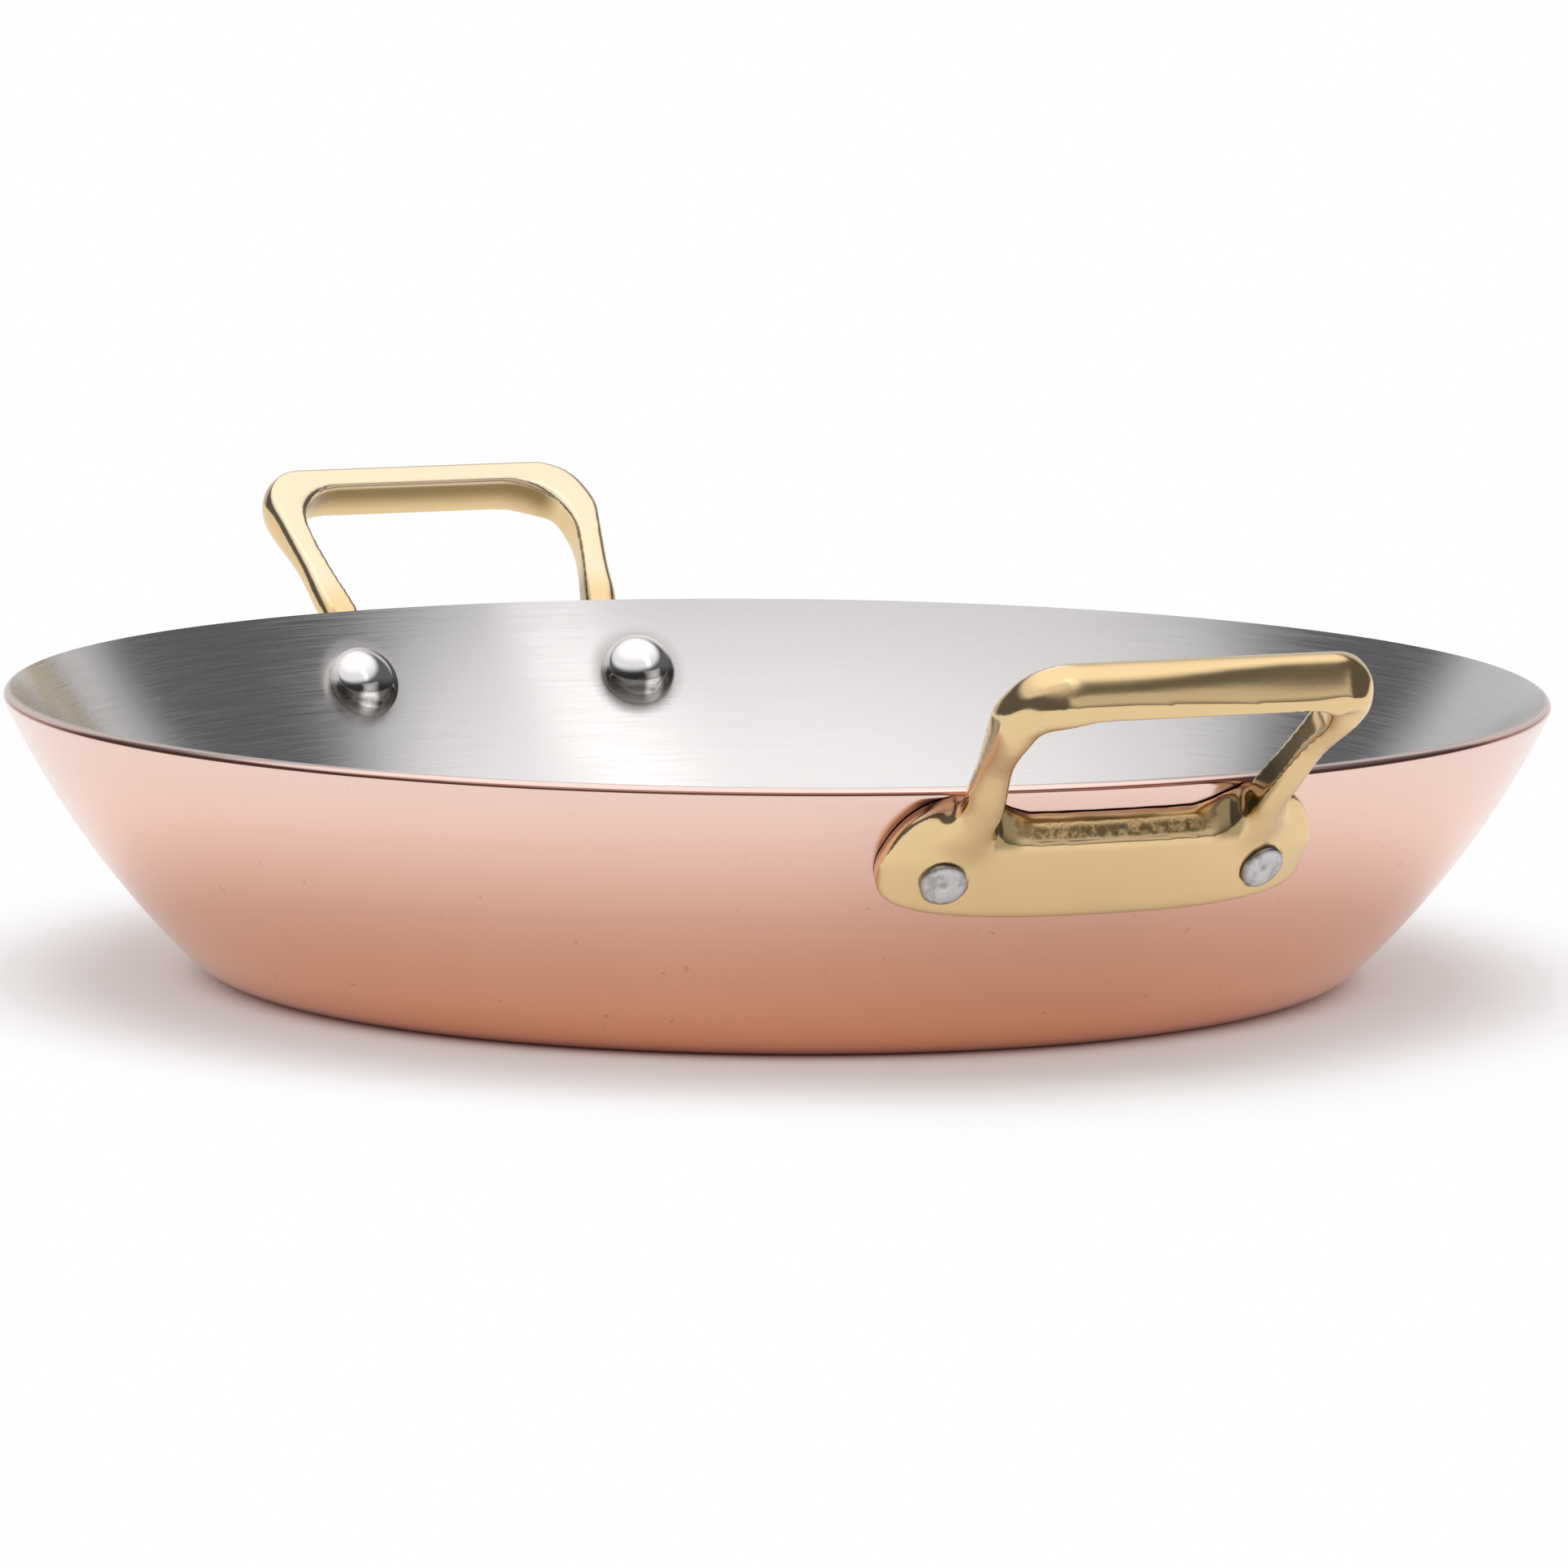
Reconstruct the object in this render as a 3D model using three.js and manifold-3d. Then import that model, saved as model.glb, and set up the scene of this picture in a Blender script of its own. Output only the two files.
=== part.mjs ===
// Round two-handled copper pan: a spun copper bowl bonded to a thin steel lining,
// with two cast brass loop handles, each held by two steel rivets.
// Millimetres, +Z up. The origin is the centre of the flat base; the handles lie along X.

import * as THREE from 'three';
import { mergeVertices } from 'three/addons/utils/BufferGeometryUtils.js';
import Module from 'manifold-3d';

const wasm = await Module();
wasm.setup();

const { degToRad, lerp } = THREE.MathUtils;

// Bowl
const RIM_RADIUS = 140; // outer edge of the rim
const PAN_HEIGHT = 51.8; // table to the highest edge of the rim
const RIM_FLARE = degToRad(25.3); // lean of the wall from the vertical, at the rim
const WALL_CURVE = 165; // radius of the wall's outer curve, seen in section
const FOOT_ROUND = 7.8; // radius of the outer corner between wall and base
const COPPER = 1.6; // sheet thickness of the outer layer
const STEEL = 0.2; // thickness of the bonded lining

// Rivets
const RIVET_DROP = 15.1; // from the rim down the wall to the rivet line
const RIVET_SPREAD = 58.6; // between the two rivets of a handle, along the wall
const HEAD_RADIUS = 7.1; // domed head inside the bowl
const HEAD_EDGE = 0.8; // short straight edge under the dome
const HEAD_DOME = 4.8; // height of the dome above that edge
const SHANK_RADIUS = 3.2;
const TAIL_RADIUS = 4.1; // peened end outside the handle
const TAIL_HEIGHT = 1.2;
const TAIL_CHAMFER = 0.45;
const DIMPLE_RADIUS = 1;
const DIMPLE_DEPTH = 0.3;

// Handle plate, measured on the wall: along it sideways and up it from the rivet line
const PLATE_LENGTH = 80.6;
const PLATE_ABOVE = 8.6; // rivet line to the top edge, between the arms
const PLATE_BELOW = 9.8; // rivet line to the bottom edge
const PLATE_THICKNESS = 5;
const PLATE_COVE = 3.2; // how far the top face falls from the wall to the front
const PLATE_ROUND = 2.2; // rounding of the lower front edge
const PLATE_POWER = 3; // outline of a full oval: 2 is an ellipse, higher is blunter at the ends
const TIP_THICKNESS = 1.6; // plate thickness at its two rounded ends

// Handle loop: a flat inner face in a plane that leans out from the rim, with a round front
const LOOP_LEAN = degToRad(44.3);
const LOOP_REACH = 35; // rim to the top of the grip, in the leaning plane
const LOOP_CLEAR = 3.9; // rim's edge to the flat face, straight out, at the arms
const GRIP_LENGTH = 68.4; // overall, across the two corners
const GRIP_HEIGHT = 4.5; // flat face of the grip, in the leaning plane
const GRIP_DEPTH = 10.4; // flat face to the front
const GRIP_CORNER = 7; // radius of the middle line at the two upper corners
const ARM_SPREAD = 53.5; // between the middles of the arms, at the rim
const ARM_FOOT_WIDTH = 5.7; // flat face of an arm, at the rim
const ARM_WIDTH = 4.5; // flat face of an arm, half way up
const ARM_DEPTH = 5.8; // flat face to the front
const FRONT_SHIFT = 0.9; // how far an arm's front is set outward from its flat face, in the plane
const FRONT_START = 1.6; // depth of the plain sides, before the front turns round
const ROOT_DEPTH = 16.5; // rim to the end of an arm's root, in the leaning plane
const ROOT_SPREAD = 57; // between the middles of the two roots
const ROOT_WIDTH = 18;
const ROOT_THICKNESS = 4.6;
const NECK_SHARE = 0.35; // part of that spreading that is done half way down the root

// Clearances
const BOND = 0.05; // bond line between copper and lining
const SEAT_GAP = 0.3; // handle to wall, tail to its seat
const HEAD_GAP = 0.4; // flat underside of the head to the curved lining
const HOLE_CLEAR = 0.25; // shank to its hole, all round
const SPOT_CLEAR = 0.5; // tail to the round seat sunk in the plate, all round
const SPOT_SINK = 0.3; // depth of that seat below the plate's front
const CUT_REACH = 30; // how far the cutters run past the surfaces they cut

// Facets
const RING_STEPS = 72;
const WALL_STEPS = 6;
const CORNER_STEPS = 3;
const RIVET_STEPS = 20;
const DOME_STEPS = 5;
const FRONT_STEPS = 6;
const TURN_STEPS = 4;
const BAR_STEPS = 4;
const PLATE_STEPS = 10;
const PLATE_SWEEP = degToRad(87); // how far round each end of the outline the sections run

// Values that follow from the sizes above
const WALL = COPPER + BOND + STEEL;
const RIM_Z = PAN_HEIGHT - WALL * Math.sin(RIM_FLARE); // outer edge of the square-cut rim
const CURVE_R = RIM_RADIUS - WALL_CURVE * Math.cos(RIM_FLARE); // centre of the wall's curve
const CURVE_Z = RIM_Z + WALL_CURVE * Math.sin(RIM_FLARE);
const FOOT_R = CURVE_R + Math.sqrt((WALL_CURVE - FOOT_ROUND) ** 2 - (CURVE_Z - FOOT_ROUND) ** 2);
const FOOT_LEAN = Math.atan2(CURVE_Z - FOOT_ROUND, FOOT_R - CURVE_R); // where corner meets wall
const MERGE = 1e-4;

const copper = new THREE.MeshStandardMaterial({ color: 0xd9a08a, roughness: 0.22, metalness: 1 });
const steel = new THREE.MeshStandardMaterial({ color: 0xbfbdbd, roughness: 0.35, metalness: 1 });
const brass = new THREE.MeshStandardMaterial({ color: 0xd8bd82, roughness: 0.2, metalness: 1 });
const rivetSteel = new THREE.MeshStandardMaterial({ color: 0xc9c6c8, roughness: 0.18, metalness: 1 });

// Closed surface to solid, for cutting and joining
function toSolid(geometry) {
  const bare = new THREE.BufferGeometry();
  bare.setAttribute('position', geometry.getAttribute('position').clone());
  bare.setIndex(geometry.getIndex());
  const merged = mergeVertices(bare, MERGE);
  const index = merged.getIndex().array;
  const corners = [];
  for (let i = 0; i < index.length; i += 3) {
    const [a, b, c] = index.slice(i, i + 3);
    if (a !== b && b !== c && c !== a) corners.push(a, b, c);
  }
  return new wasm.Manifold(new wasm.Mesh({
    numProp: 3,
    vertProperties: new Float32Array(merged.getAttribute('position').array),
    triVerts: new Uint32Array(corners),
  }));
}

function toGeometry(manifold) {
  const { vertProperties, triVerts } = manifold.getMesh();
  const geometry = new THREE.BufferGeometry();
  geometry.setAttribute('position', new THREE.BufferAttribute(vertProperties, 3));
  geometry.setIndex(new THREE.BufferAttribute(triVerts, 1));
  geometry.computeVertexNormals();
  return geometry;
}

// Solid of revolution about Z
function turned(points) {
  return toSolid(new THREE.LatheGeometry(points, RING_STEPS).rotateX(Math.PI / 2));
}

// Closed skin through rings of equal count, capped flat at both ends
function loft(rings) {
  const count = rings[0].length;
  const positions = [];
  const index = [];
  for (const ring of rings) for (const p of ring) positions.push(p.x, p.y, p.z);
  for (let k = 0; k + 1 < rings.length; k++) {
    for (let i = 0; i < count; i++) {
      const a = k * count + i;
      const b = k * count + (i + 1) % count;
      index.push(a, b + count, b, a, a + count, b + count);
    }
  }
  const last = (rings.length - 1) * count;
  for (let i = 1; i + 1 < count; i++) index.push(0, i, i + 1, last, last + i + 1, last + i);
  const geometry = new THREE.BufferGeometry();
  geometry.setAttribute('position', new THREE.Float32BufferAttribute(positions, 3));
  geometry.setIndex(index);
  return toSolid(geometry);
}

// Point at a lean angle of the wall's curve, moved outward from the outer skin
function curvePoint(lean, out) {
  const radius = WALL_CURVE + out;
  return new THREE.Vector2(CURVE_R + radius * Math.cos(lean), CURVE_Z - radius * Math.sin(lean));
}

// Skin of the bowl from the middle of the base to the rim, moved outward
function skin(out) {
  const points = [new THREE.Vector2(0, -out)];
  const radius = FOOT_ROUND + out;
  for (let i = 0; i <= CORNER_STEPS; i++) {
    const lean = lerp(Math.PI / 2, FOOT_LEAN, i / CORNER_STEPS);
    points.push(new THREE.Vector2(FOOT_R + radius * Math.cos(lean), FOOT_ROUND - radius * Math.sin(lean)));
  }
  for (let i = 1; i <= WALL_STEPS; i++) {
    points.push(curvePoint(lerp(FOOT_LEAN, RIM_FLARE, i / WALL_STEPS), out));
  }
  return points;
}

// Layer of sheet metal between two skins
function layer(outer, inner) {
  return turned([...skin(outer), ...skin(inner).reverse()]);
}

// Point on the wall: sideways along it, up it from the rivet line, and outward
function onWall(side, up, out) {
  const lean = RIM_FLARE + (RIVET_DROP - up) / WALL_CURVE;
  const { x: radius, y: z } = curvePoint(lean, out);
  const turn = side / RIVET_LINE_RADIUS;
  return new THREE.Vector3(radius * Math.cos(turn), radius * Math.sin(turn), z);
}

const RIVET_LEAN = RIM_FLARE + RIVET_DROP / WALL_CURVE;
const RIVET_LINE_RADIUS = curvePoint(RIVET_LEAN, 0).x;

// Foot of a rivet on the wall's outer skin, and the way it points
function rivetPlace(side, turn) {
  const spin = new THREE.Matrix4().makeRotationZ(turn);
  const foot = onWall(side, 0, 0);
  const axis = onWall(side, 0, 1).sub(foot).normalize();
  const swing = new THREE.Quaternion().setFromUnitVectors(new THREE.Vector3(0, 1, 0), axis);
  return spin.multiply(new THREE.Matrix4().compose(foot, swing, new THREE.Vector3(1, 1, 1)));
}

// Round cutter along a rivet's axis
function bore(radius, from, to, place) {
  const rod = new THREE.CylinderGeometry(radius, radius, to - from, RIVET_STEPS);
  return toSolid(rod.translate(0, (from + to) / 2, 0).applyMatrix4(place));
}

// Rivet, turned about its own axis: dome inside, shank through the wall, peened tail outside
function rivetGeometry() {
  const seat = -WALL - HEAD_GAP;
  const tail = PLATE_THICKNESS - SPOT_SINK + SEAT_GAP;
  const points = [];
  for (let i = 0; i <= DOME_STEPS; i++) {
    const angle = (i / DOME_STEPS) * Math.PI / 2;
    const rise = HEAD_EDGE + HEAD_DOME * Math.cos(angle);
    points.push(new THREE.Vector2(HEAD_RADIUS * Math.sin(angle), seat - rise));
  }
  points.push(
    new THREE.Vector2(HEAD_RADIUS, seat),
    new THREE.Vector2(SHANK_RADIUS, seat),
    new THREE.Vector2(SHANK_RADIUS, tail),
    new THREE.Vector2(TAIL_RADIUS, tail),
    new THREE.Vector2(TAIL_RADIUS, tail + TAIL_HEIGHT - TAIL_CHAMFER),
    new THREE.Vector2(TAIL_RADIUS - TAIL_CHAMFER, tail + TAIL_HEIGHT),
    new THREE.Vector2(DIMPLE_RADIUS, tail + TAIL_HEIGHT),
    new THREE.Vector2(0, tail + TAIL_HEIGHT - DIMPLE_DEPTH),
  );
  return new THREE.LatheGeometry(points, RIVET_STEPS);
}

// Section of the plate at one place along it, where it has a part of its full height
function plateRing(side, tall) {
  const thickness = lerp(PLATE_THICKNESS, TIP_THICKNESS, (1 - tall) ** 2);
  const middle = (PLATE_ABOVE - PLATE_BELOW) / 2;
  const reach = tall * (PLATE_ABOVE + PLATE_BELOW) / 2;
  const round = tall * PLATE_ROUND;
  const bevel = round * (1 - Math.SQRT1_2);
  return [
    onWall(side, middle - reach, 0),
    onWall(side, middle - reach, thickness - round),
    onWall(side, middle - reach + bevel, thickness - bevel),
    onWall(side, middle - reach + round, thickness),
    onWall(side, middle + reach - tall * PLATE_COVE, thickness),
    onWall(side, middle + reach, 0),
  ];
}

function plate() {
  const rings = [];
  for (let i = -PLATE_STEPS; i <= PLATE_STEPS; i++) {
    const angle = (i / PLATE_STEPS) * PLATE_SWEEP;
    const along = Math.sign(angle) * Math.abs(Math.sin(angle)) ** (2 / PLATE_POWER);
    rings.push(plateRing(along * PLATE_LENGTH / 2, Math.cos(angle) ** (2 / PLATE_POWER)));
  }
  return loft(rings);
}

// Section of the loop: flat inner face, plain sides and a round front set outward
function loopRing(frame, { at, across, width, depth, shift }) {
  const ring = [[-width / 2, 0], [width / 2, 0]];
  for (let i = 0; i <= FRONT_STEPS; i++) {
    const angle = (i / FRONT_STEPS) * Math.PI;
    ring.push([
      shift + (width / 2) * Math.cos(angle),
      FRONT_START + (depth - FRONT_START) * Math.sin(angle),
    ]);
  }
  return ring.map(([a, n]) => new THREE.Vector3(n, at.x + a * across.x, at.y + a * across.y)
    .applyMatrix4(frame));
}

// Stations of half the loop, from the root of one arm to the middle of the grip
function loopStations() {
  const gripLine = LOOP_REACH - GRIP_HEIGHT / 2;
  const sideways = new THREE.Vector2(1, 0);
  const rimAt = new THREE.Vector2(ARM_SPREAD / 2, 0);
  const cornerAt = new THREE.Vector2(GRIP_LENGTH / 2 - ARM_WIDTH / 2, gripLine);
  const up = cornerAt.clone().sub(rimAt).normalize();
  const turn = Math.PI / 2 + Math.atan2(up.x, up.y);
  const cut = GRIP_CORNER * Math.tan(turn / 2);
  const cross = new THREE.Vector2(up.y, -up.x);
  const armEnd = cornerAt.clone().addScaledVector(up, -cut);
  const centre = armEnd.clone().addScaledVector(cross, -GRIP_CORNER);
  const stations = [
    {
      at: new THREE.Vector2(ROOT_SPREAD / 2, -ROOT_DEPTH),
      across: sideways, width: ROOT_WIDTH, depth: ROOT_THICKNESS, shift: 0,
    },
    {
      at: new THREE.Vector2(lerp(ARM_SPREAD, ROOT_SPREAD, NECK_SHARE) / 2, -ROOT_DEPTH / 2),
      across: sideways,
      width: lerp(ARM_FOOT_WIDTH, ROOT_WIDTH, NECK_SHARE),
      depth: lerp(ARM_DEPTH, ROOT_THICKNESS, NECK_SHARE),
      shift: FRONT_SHIFT,
    },
    { at: rimAt, across: sideways, width: ARM_FOOT_WIDTH, depth: ARM_DEPTH, shift: FRONT_SHIFT },
    {
      at: rimAt.clone().add(armEnd).divideScalar(2),
      across: cross, width: ARM_WIDTH, depth: ARM_DEPTH, shift: FRONT_SHIFT,
    },
  ];
  for (let i = 0; i <= TURN_STEPS; i++) {
    const swing = (i / TURN_STEPS) * turn;
    const across = cross.clone().rotateAround(new THREE.Vector2(), swing);
    stations.push({
      at: centre.clone().addScaledVector(across, GRIP_CORNER),
      across,
      width: lerp(ARM_WIDTH, GRIP_HEIGHT, i / TURN_STEPS),
      depth: lerp(ARM_DEPTH, GRIP_DEPTH, i / TURN_STEPS),
      shift: lerp(FRONT_SHIFT, 0, i / TURN_STEPS),
    });
  }
  const barStart = stations.at(-1).at.x;
  for (let i = 1; i <= BAR_STEPS; i++) {
    stations.push({
      at: new THREE.Vector2(lerp(barStart, 0, i / BAR_STEPS), gripLine),
      across: new THREE.Vector2(0, 1), width: GRIP_HEIGHT, depth: GRIP_DEPTH, shift: 0,
    });
  }
  return stations;
}

function loop() {
  const half = loopStations();
  const mirrored = half.slice(0, -1).reverse().map((station) => ({
    ...station,
    at: new THREE.Vector2(-station.at.x, station.at.y),
    across: new THREE.Vector2(-station.across.x, station.across.y),
  }));
  const armRadius = Math.sqrt(RIM_RADIUS ** 2 - (ARM_SPREAD / 2) ** 2);
  const outward = new THREE.Vector3(Math.cos(LOOP_LEAN), 0, -Math.sin(LOOP_LEAN));
  const upward = new THREE.Vector3(Math.sin(LOOP_LEAN), 0, Math.cos(LOOP_LEAN));
  const frame = new THREE.Matrix4()
    .makeBasis(outward, new THREE.Vector3(0, 1, 0), upward)
    .setPosition(armRadius + LOOP_CLEAR, 0, RIM_Z);
  return loft([...half, ...mirrored].map((station) => loopRing(frame, station)));
}

function handleGeometry() {
  let body = plate().add(loop());
  body = body.subtract(turned([...skin(SEAT_GAP), new THREE.Vector2(0, PAN_HEIGHT)]));
  for (const side of [-RIVET_SPREAD / 2, RIVET_SPREAD / 2]) {
    const place = rivetPlace(side, 0);
    body = body.subtract(bore(SHANK_RADIUS + HOLE_CLEAR, -CUT_REACH, CUT_REACH, place));
    body = body.subtract(bore(
      TAIL_RADIUS + SPOT_CLEAR, PLATE_THICKNESS - SPOT_SINK, CUT_REACH, place));
  }
  return toGeometry(body);
}

// The two ends of the pan, seen from the front, and the two rivets of each handle
const ENDS = [['right', 0], ['left', Math.PI]];
const RIVET_SIDES = [['front', -RIVET_SPREAD / 2], ['back', RIVET_SPREAD / 2]];

function drilled(bowl) {
  for (const [, turn] of ENDS) {
    for (const [, side] of RIVET_SIDES) {
      bowl = bowl.subtract(bore(SHANK_RADIUS + HOLE_CLEAR, -CUT_REACH, CUT_REACH, rivetPlace(side, turn)));
    }
  }
  return toGeometry(bowl);
}

function named(name, geometry, material) {
  const mesh = new THREE.Mesh(geometry, material);
  mesh.name = name;
  return mesh;
}

const pan = new THREE.Group();
pan.name = 'two_handled_pan';
pan.add(named('copper_body', drilled(layer(0, -COPPER)), copper));
pan.add(named('steel_lining', drilled(layer(-COPPER - BOND, -WALL)), steel));

for (const [end, turn] of ENDS) {
  const side = new THREE.Group();
  side.rotation.z = turn;
  side.add(named(`handle_${end}`, handleGeometry(), brass));
  pan.add(side);
  for (const [place, along] of RIVET_SIDES) {
    const rivet = named(`rivet_${end}_${place}`, rivetGeometry(), rivetSteel);
    rivet.applyMatrix4(rivetPlace(along, turn));
    pan.add(rivet);
  }
}

export default pan;
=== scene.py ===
"""Looks of a round copper pan: a steel-lined bowl, two cast brass loop handles and four rivets."""

import logging
import math
from dataclasses import dataclass, field, replace
from enum import Enum
from typing import Callable, Optional, Sequence, Union

import bmesh
import bpy
from mathutils import Matrix, Vector


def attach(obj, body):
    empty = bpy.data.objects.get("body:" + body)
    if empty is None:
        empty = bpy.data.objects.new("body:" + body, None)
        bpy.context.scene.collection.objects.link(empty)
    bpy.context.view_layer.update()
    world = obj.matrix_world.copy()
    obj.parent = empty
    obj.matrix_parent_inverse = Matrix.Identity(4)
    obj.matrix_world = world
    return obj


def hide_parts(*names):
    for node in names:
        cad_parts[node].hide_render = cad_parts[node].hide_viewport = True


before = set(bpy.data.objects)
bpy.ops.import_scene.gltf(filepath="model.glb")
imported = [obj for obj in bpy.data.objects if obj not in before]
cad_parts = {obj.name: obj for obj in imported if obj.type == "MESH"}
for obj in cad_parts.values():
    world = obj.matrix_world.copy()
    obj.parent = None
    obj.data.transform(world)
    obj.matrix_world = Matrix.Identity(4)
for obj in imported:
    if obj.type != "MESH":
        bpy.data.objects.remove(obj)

LOG = logging.getLogger("pan")
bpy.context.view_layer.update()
MM = 0.001
TINY = 1e-6
MEAN = 0.5
UP = Vector((0.0, 0.0, 1.0))

Point = tuple[float, float]
Span = tuple[float, float]
Color = tuple[float, float, float]
Value = Union["Wire", float, int, Color, tuple[float, float, float, float]]
WHITE: Color = (1.0, 1.0, 1.0)


class Slot(Enum):
    """Material slots of the part's record."""

    COPPER = "copper"
    LINING = "lining"
    BRASS = "brass"
    RIVET = "rivet"


class Side(Enum):
    """The two ends of the pan, as turns about its axis."""

    RIGHT = 0.0
    LEFT = math.pi


def lerp(start: float, end: float, share: float) -> float:
    """Return the value a share of the way from start to end."""
    return start + (end - start) * share


def ease(share: float) -> float:
    """Return a share from 0 to 1 with a soft start and end."""
    return share * share * (3.0 - 2.0 * share)


def clamp(value: float) -> float:
    """Return a value kept within 0 and 1."""
    return min(1.0, max(0.0, value))


def ramp(value: float, start: float, width: float) -> float:
    """Return how far a value is along a ramp, from 0 to 1."""
    return clamp((value - start) / width)


def opaque(color: Color) -> tuple[float, float, float, float]:
    """Return a colour with full cover."""
    return (*color, 1.0)


class Bench:
    """Bench work on meshes: picking, moving and finishing, one object at a time."""

    @staticmethod
    def clear() -> None:
        """Go back to object mode with nothing selected."""
        if bpy.context.object and bpy.context.object.mode != "OBJECT":
            bpy.ops.object.mode_set(mode="OBJECT")
        bpy.ops.object.select_all(action="DESELECT")

    @staticmethod
    def hold(piece: bpy.types.Object) -> None:
        """Select one object alone and make it the active one.

        Args:
            piece: the object to work on.
        """
        Bench.clear()
        piece.select_set(True)
        bpy.context.view_layer.objects.active = piece

    @staticmethod
    def edit(piece: bpy.types.Object) -> None:
        """Open one object in edit mode."""
        Bench.hold(piece)
        bpy.ops.object.mode_set(mode="EDIT")

    @staticmethod
    def pick(piece: bpy.types.Object, test: Callable[[int, Vector], bool]) -> None:
        """Select the points of the open object that pass a test.

        Args:
            piece: the object in edit mode.
            test: takes a point's number and place, and says whether it is picked.
        """
        bpy.ops.mesh.select_all(action="DESELECT")
        cage = bmesh.from_edit_mesh(piece.data)
        cage.verts.ensure_lookup_table()
        for vert in cage.verts:
            if test(vert.index, vert.co):
                vert.select_set(True)
        cage.select_flush_mode()
        bmesh.update_edit_mesh(piece.data)

    @staticmethod
    def move(x: float, y: float, z: float) -> None:
        """Move what is selected."""
        bpy.ops.transform.translate(value=(x, y, z))

    @staticmethod
    def scale(x: float, y: float, z: float, about: Sequence[float] = (0.0, 0.0, 0.0)) -> None:
        """Scale what is selected about a point."""
        bpy.ops.transform.resize(value=(x, y, z), center_override=tuple(about))

    @staticmethod
    def rotate(angle: float, axis: str) -> None:
        """Turn what is selected about an axis through the origin, right-handed."""
        bpy.ops.transform.rotate(value=-angle, orient_axis=axis, center_override=(0.0, 0.0, 0.0))

    @staticmethod
    def name(piece: bpy.types.Object, name: str) -> None:
        """Name an object and its mesh."""
        piece.name = name
        piece.data.name = name

    @staticmethod
    def settle(piece: bpy.types.Object, place: Matrix) -> None:
        """Bring an object to a place that is then kept in its mesh.

        Args:
            piece: the object to move.
            place: how it is moved and turned.
        """
        Bench.hold(piece)
        piece.matrix_world = place
        bpy.ops.object.transform_apply(location=True, rotation=True, scale=True)

    @staticmethod
    def outward() -> None:
        """Point all faces of the open object outward."""
        bpy.ops.mesh.select_all(action="SELECT")
        bpy.ops.mesh.normals_make_consistent(inside=False)

    @staticmethod
    def apply(piece: bpy.types.Object, kind: str, **settings: object) -> None:
        """Add a modifier to a piece and apply it.

        Args:
            piece: the object to change.
            kind: the modifier's type.
            settings: the modifier's values.
        """
        Bench.hold(piece)
        modifier = piece.modifiers.new(kind.lower(), kind)
        for name, value in settings.items():
            setattr(modifier, name, value)
        bpy.ops.object.modifier_apply(modifier=modifier.name)

    @staticmethod
    def smooth(piece: bpy.types.Object, angle: float) -> None:
        """Shade a piece smooth, apart from edges sharper than an angle in degrees."""
        Bench.hold(piece)
        bpy.ops.object.shade_smooth_by_angle(angle=math.radians(angle))

    @staticmethod
    def join(parts: Sequence[bpy.types.Object]) -> bpy.types.Object:
        """Join objects into the first of them.

        Args:
            parts: the objects, the one to keep first.

        Returns:
            The kept object.
        """
        Bench.hold(parts[0])
        for part in parts[1:]:
            part.select_set(True)
        bpy.ops.object.join()
        return parts[0]

    @staticmethod
    def copy(piece: bpy.types.Object, name: str, place: Matrix) -> bpy.types.Object:
        """Copy a piece with its own mesh to another place.

        Args:
            piece: the object to copy.
            name: the copy's name.
            place: how the copy is moved and turned.

        Returns:
            The copy, at the origin with its place in its mesh.
        """
        Bench.hold(piece)
        bpy.ops.object.duplicate(linked=False)
        made = bpy.context.object
        Bench.name(made, name)
        Bench.settle(made, place)
        return made

    @staticmethod
    def discard(piece: bpy.types.Object) -> None:
        """Remove a tool object and its mesh."""
        bpy.data.meshes.remove(piece.data)


class Lathe:
    """Turns pieces about Z: a ring is drawn and extruded from point to point of a profile."""

    @staticmethod
    def turn(name: str, profile: Sequence[Point], sides: int) -> bpy.types.Object:
        """Turn a closed piece.

        Args:
            name: the piece's name.
            profile: radius and height of each ring, with both ends on the axis.
            sides: points on each ring.

        Returns:
            The turned object.
        """
        path = profile[1:-1]
        Bench.clear()
        bpy.ops.mesh.primitive_circle_add(vertices=sides, radius=path[0][0])
        piece = bpy.context.object
        Bench.name(piece, name)
        bpy.ops.object.mode_set(mode="EDIT")
        Bench.move(0.0, 0.0, path[0][1])
        for (radius, height), (reach, level) in zip(path, path[1:]):
            bpy.ops.mesh.extrude_region_move(
                TRANSFORM_OT_translate={"value": (0.0, 0.0, level - height)}
            )
            Bench.scale(reach / radius, reach / radius, 1.0, (0.0, 0.0, level))
        Lathe._close(profile[-1][1] - path[-1][1])
        Bench.pick(piece, lambda index, co: index < sides)
        Lathe._close(profile[0][1] - path[0][1])
        Bench.outward()
        Bench.clear()
        return piece

    @staticmethod
    def _close(rise: float) -> None:
        """Draw the selected ring together on the axis, a little above or below it."""
        bpy.ops.mesh.extrude_region_move(TRANSFORM_OT_translate={"value": (0.0, 0.0, rise)})
        bpy.ops.mesh.merge(type="CENTER")


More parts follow.
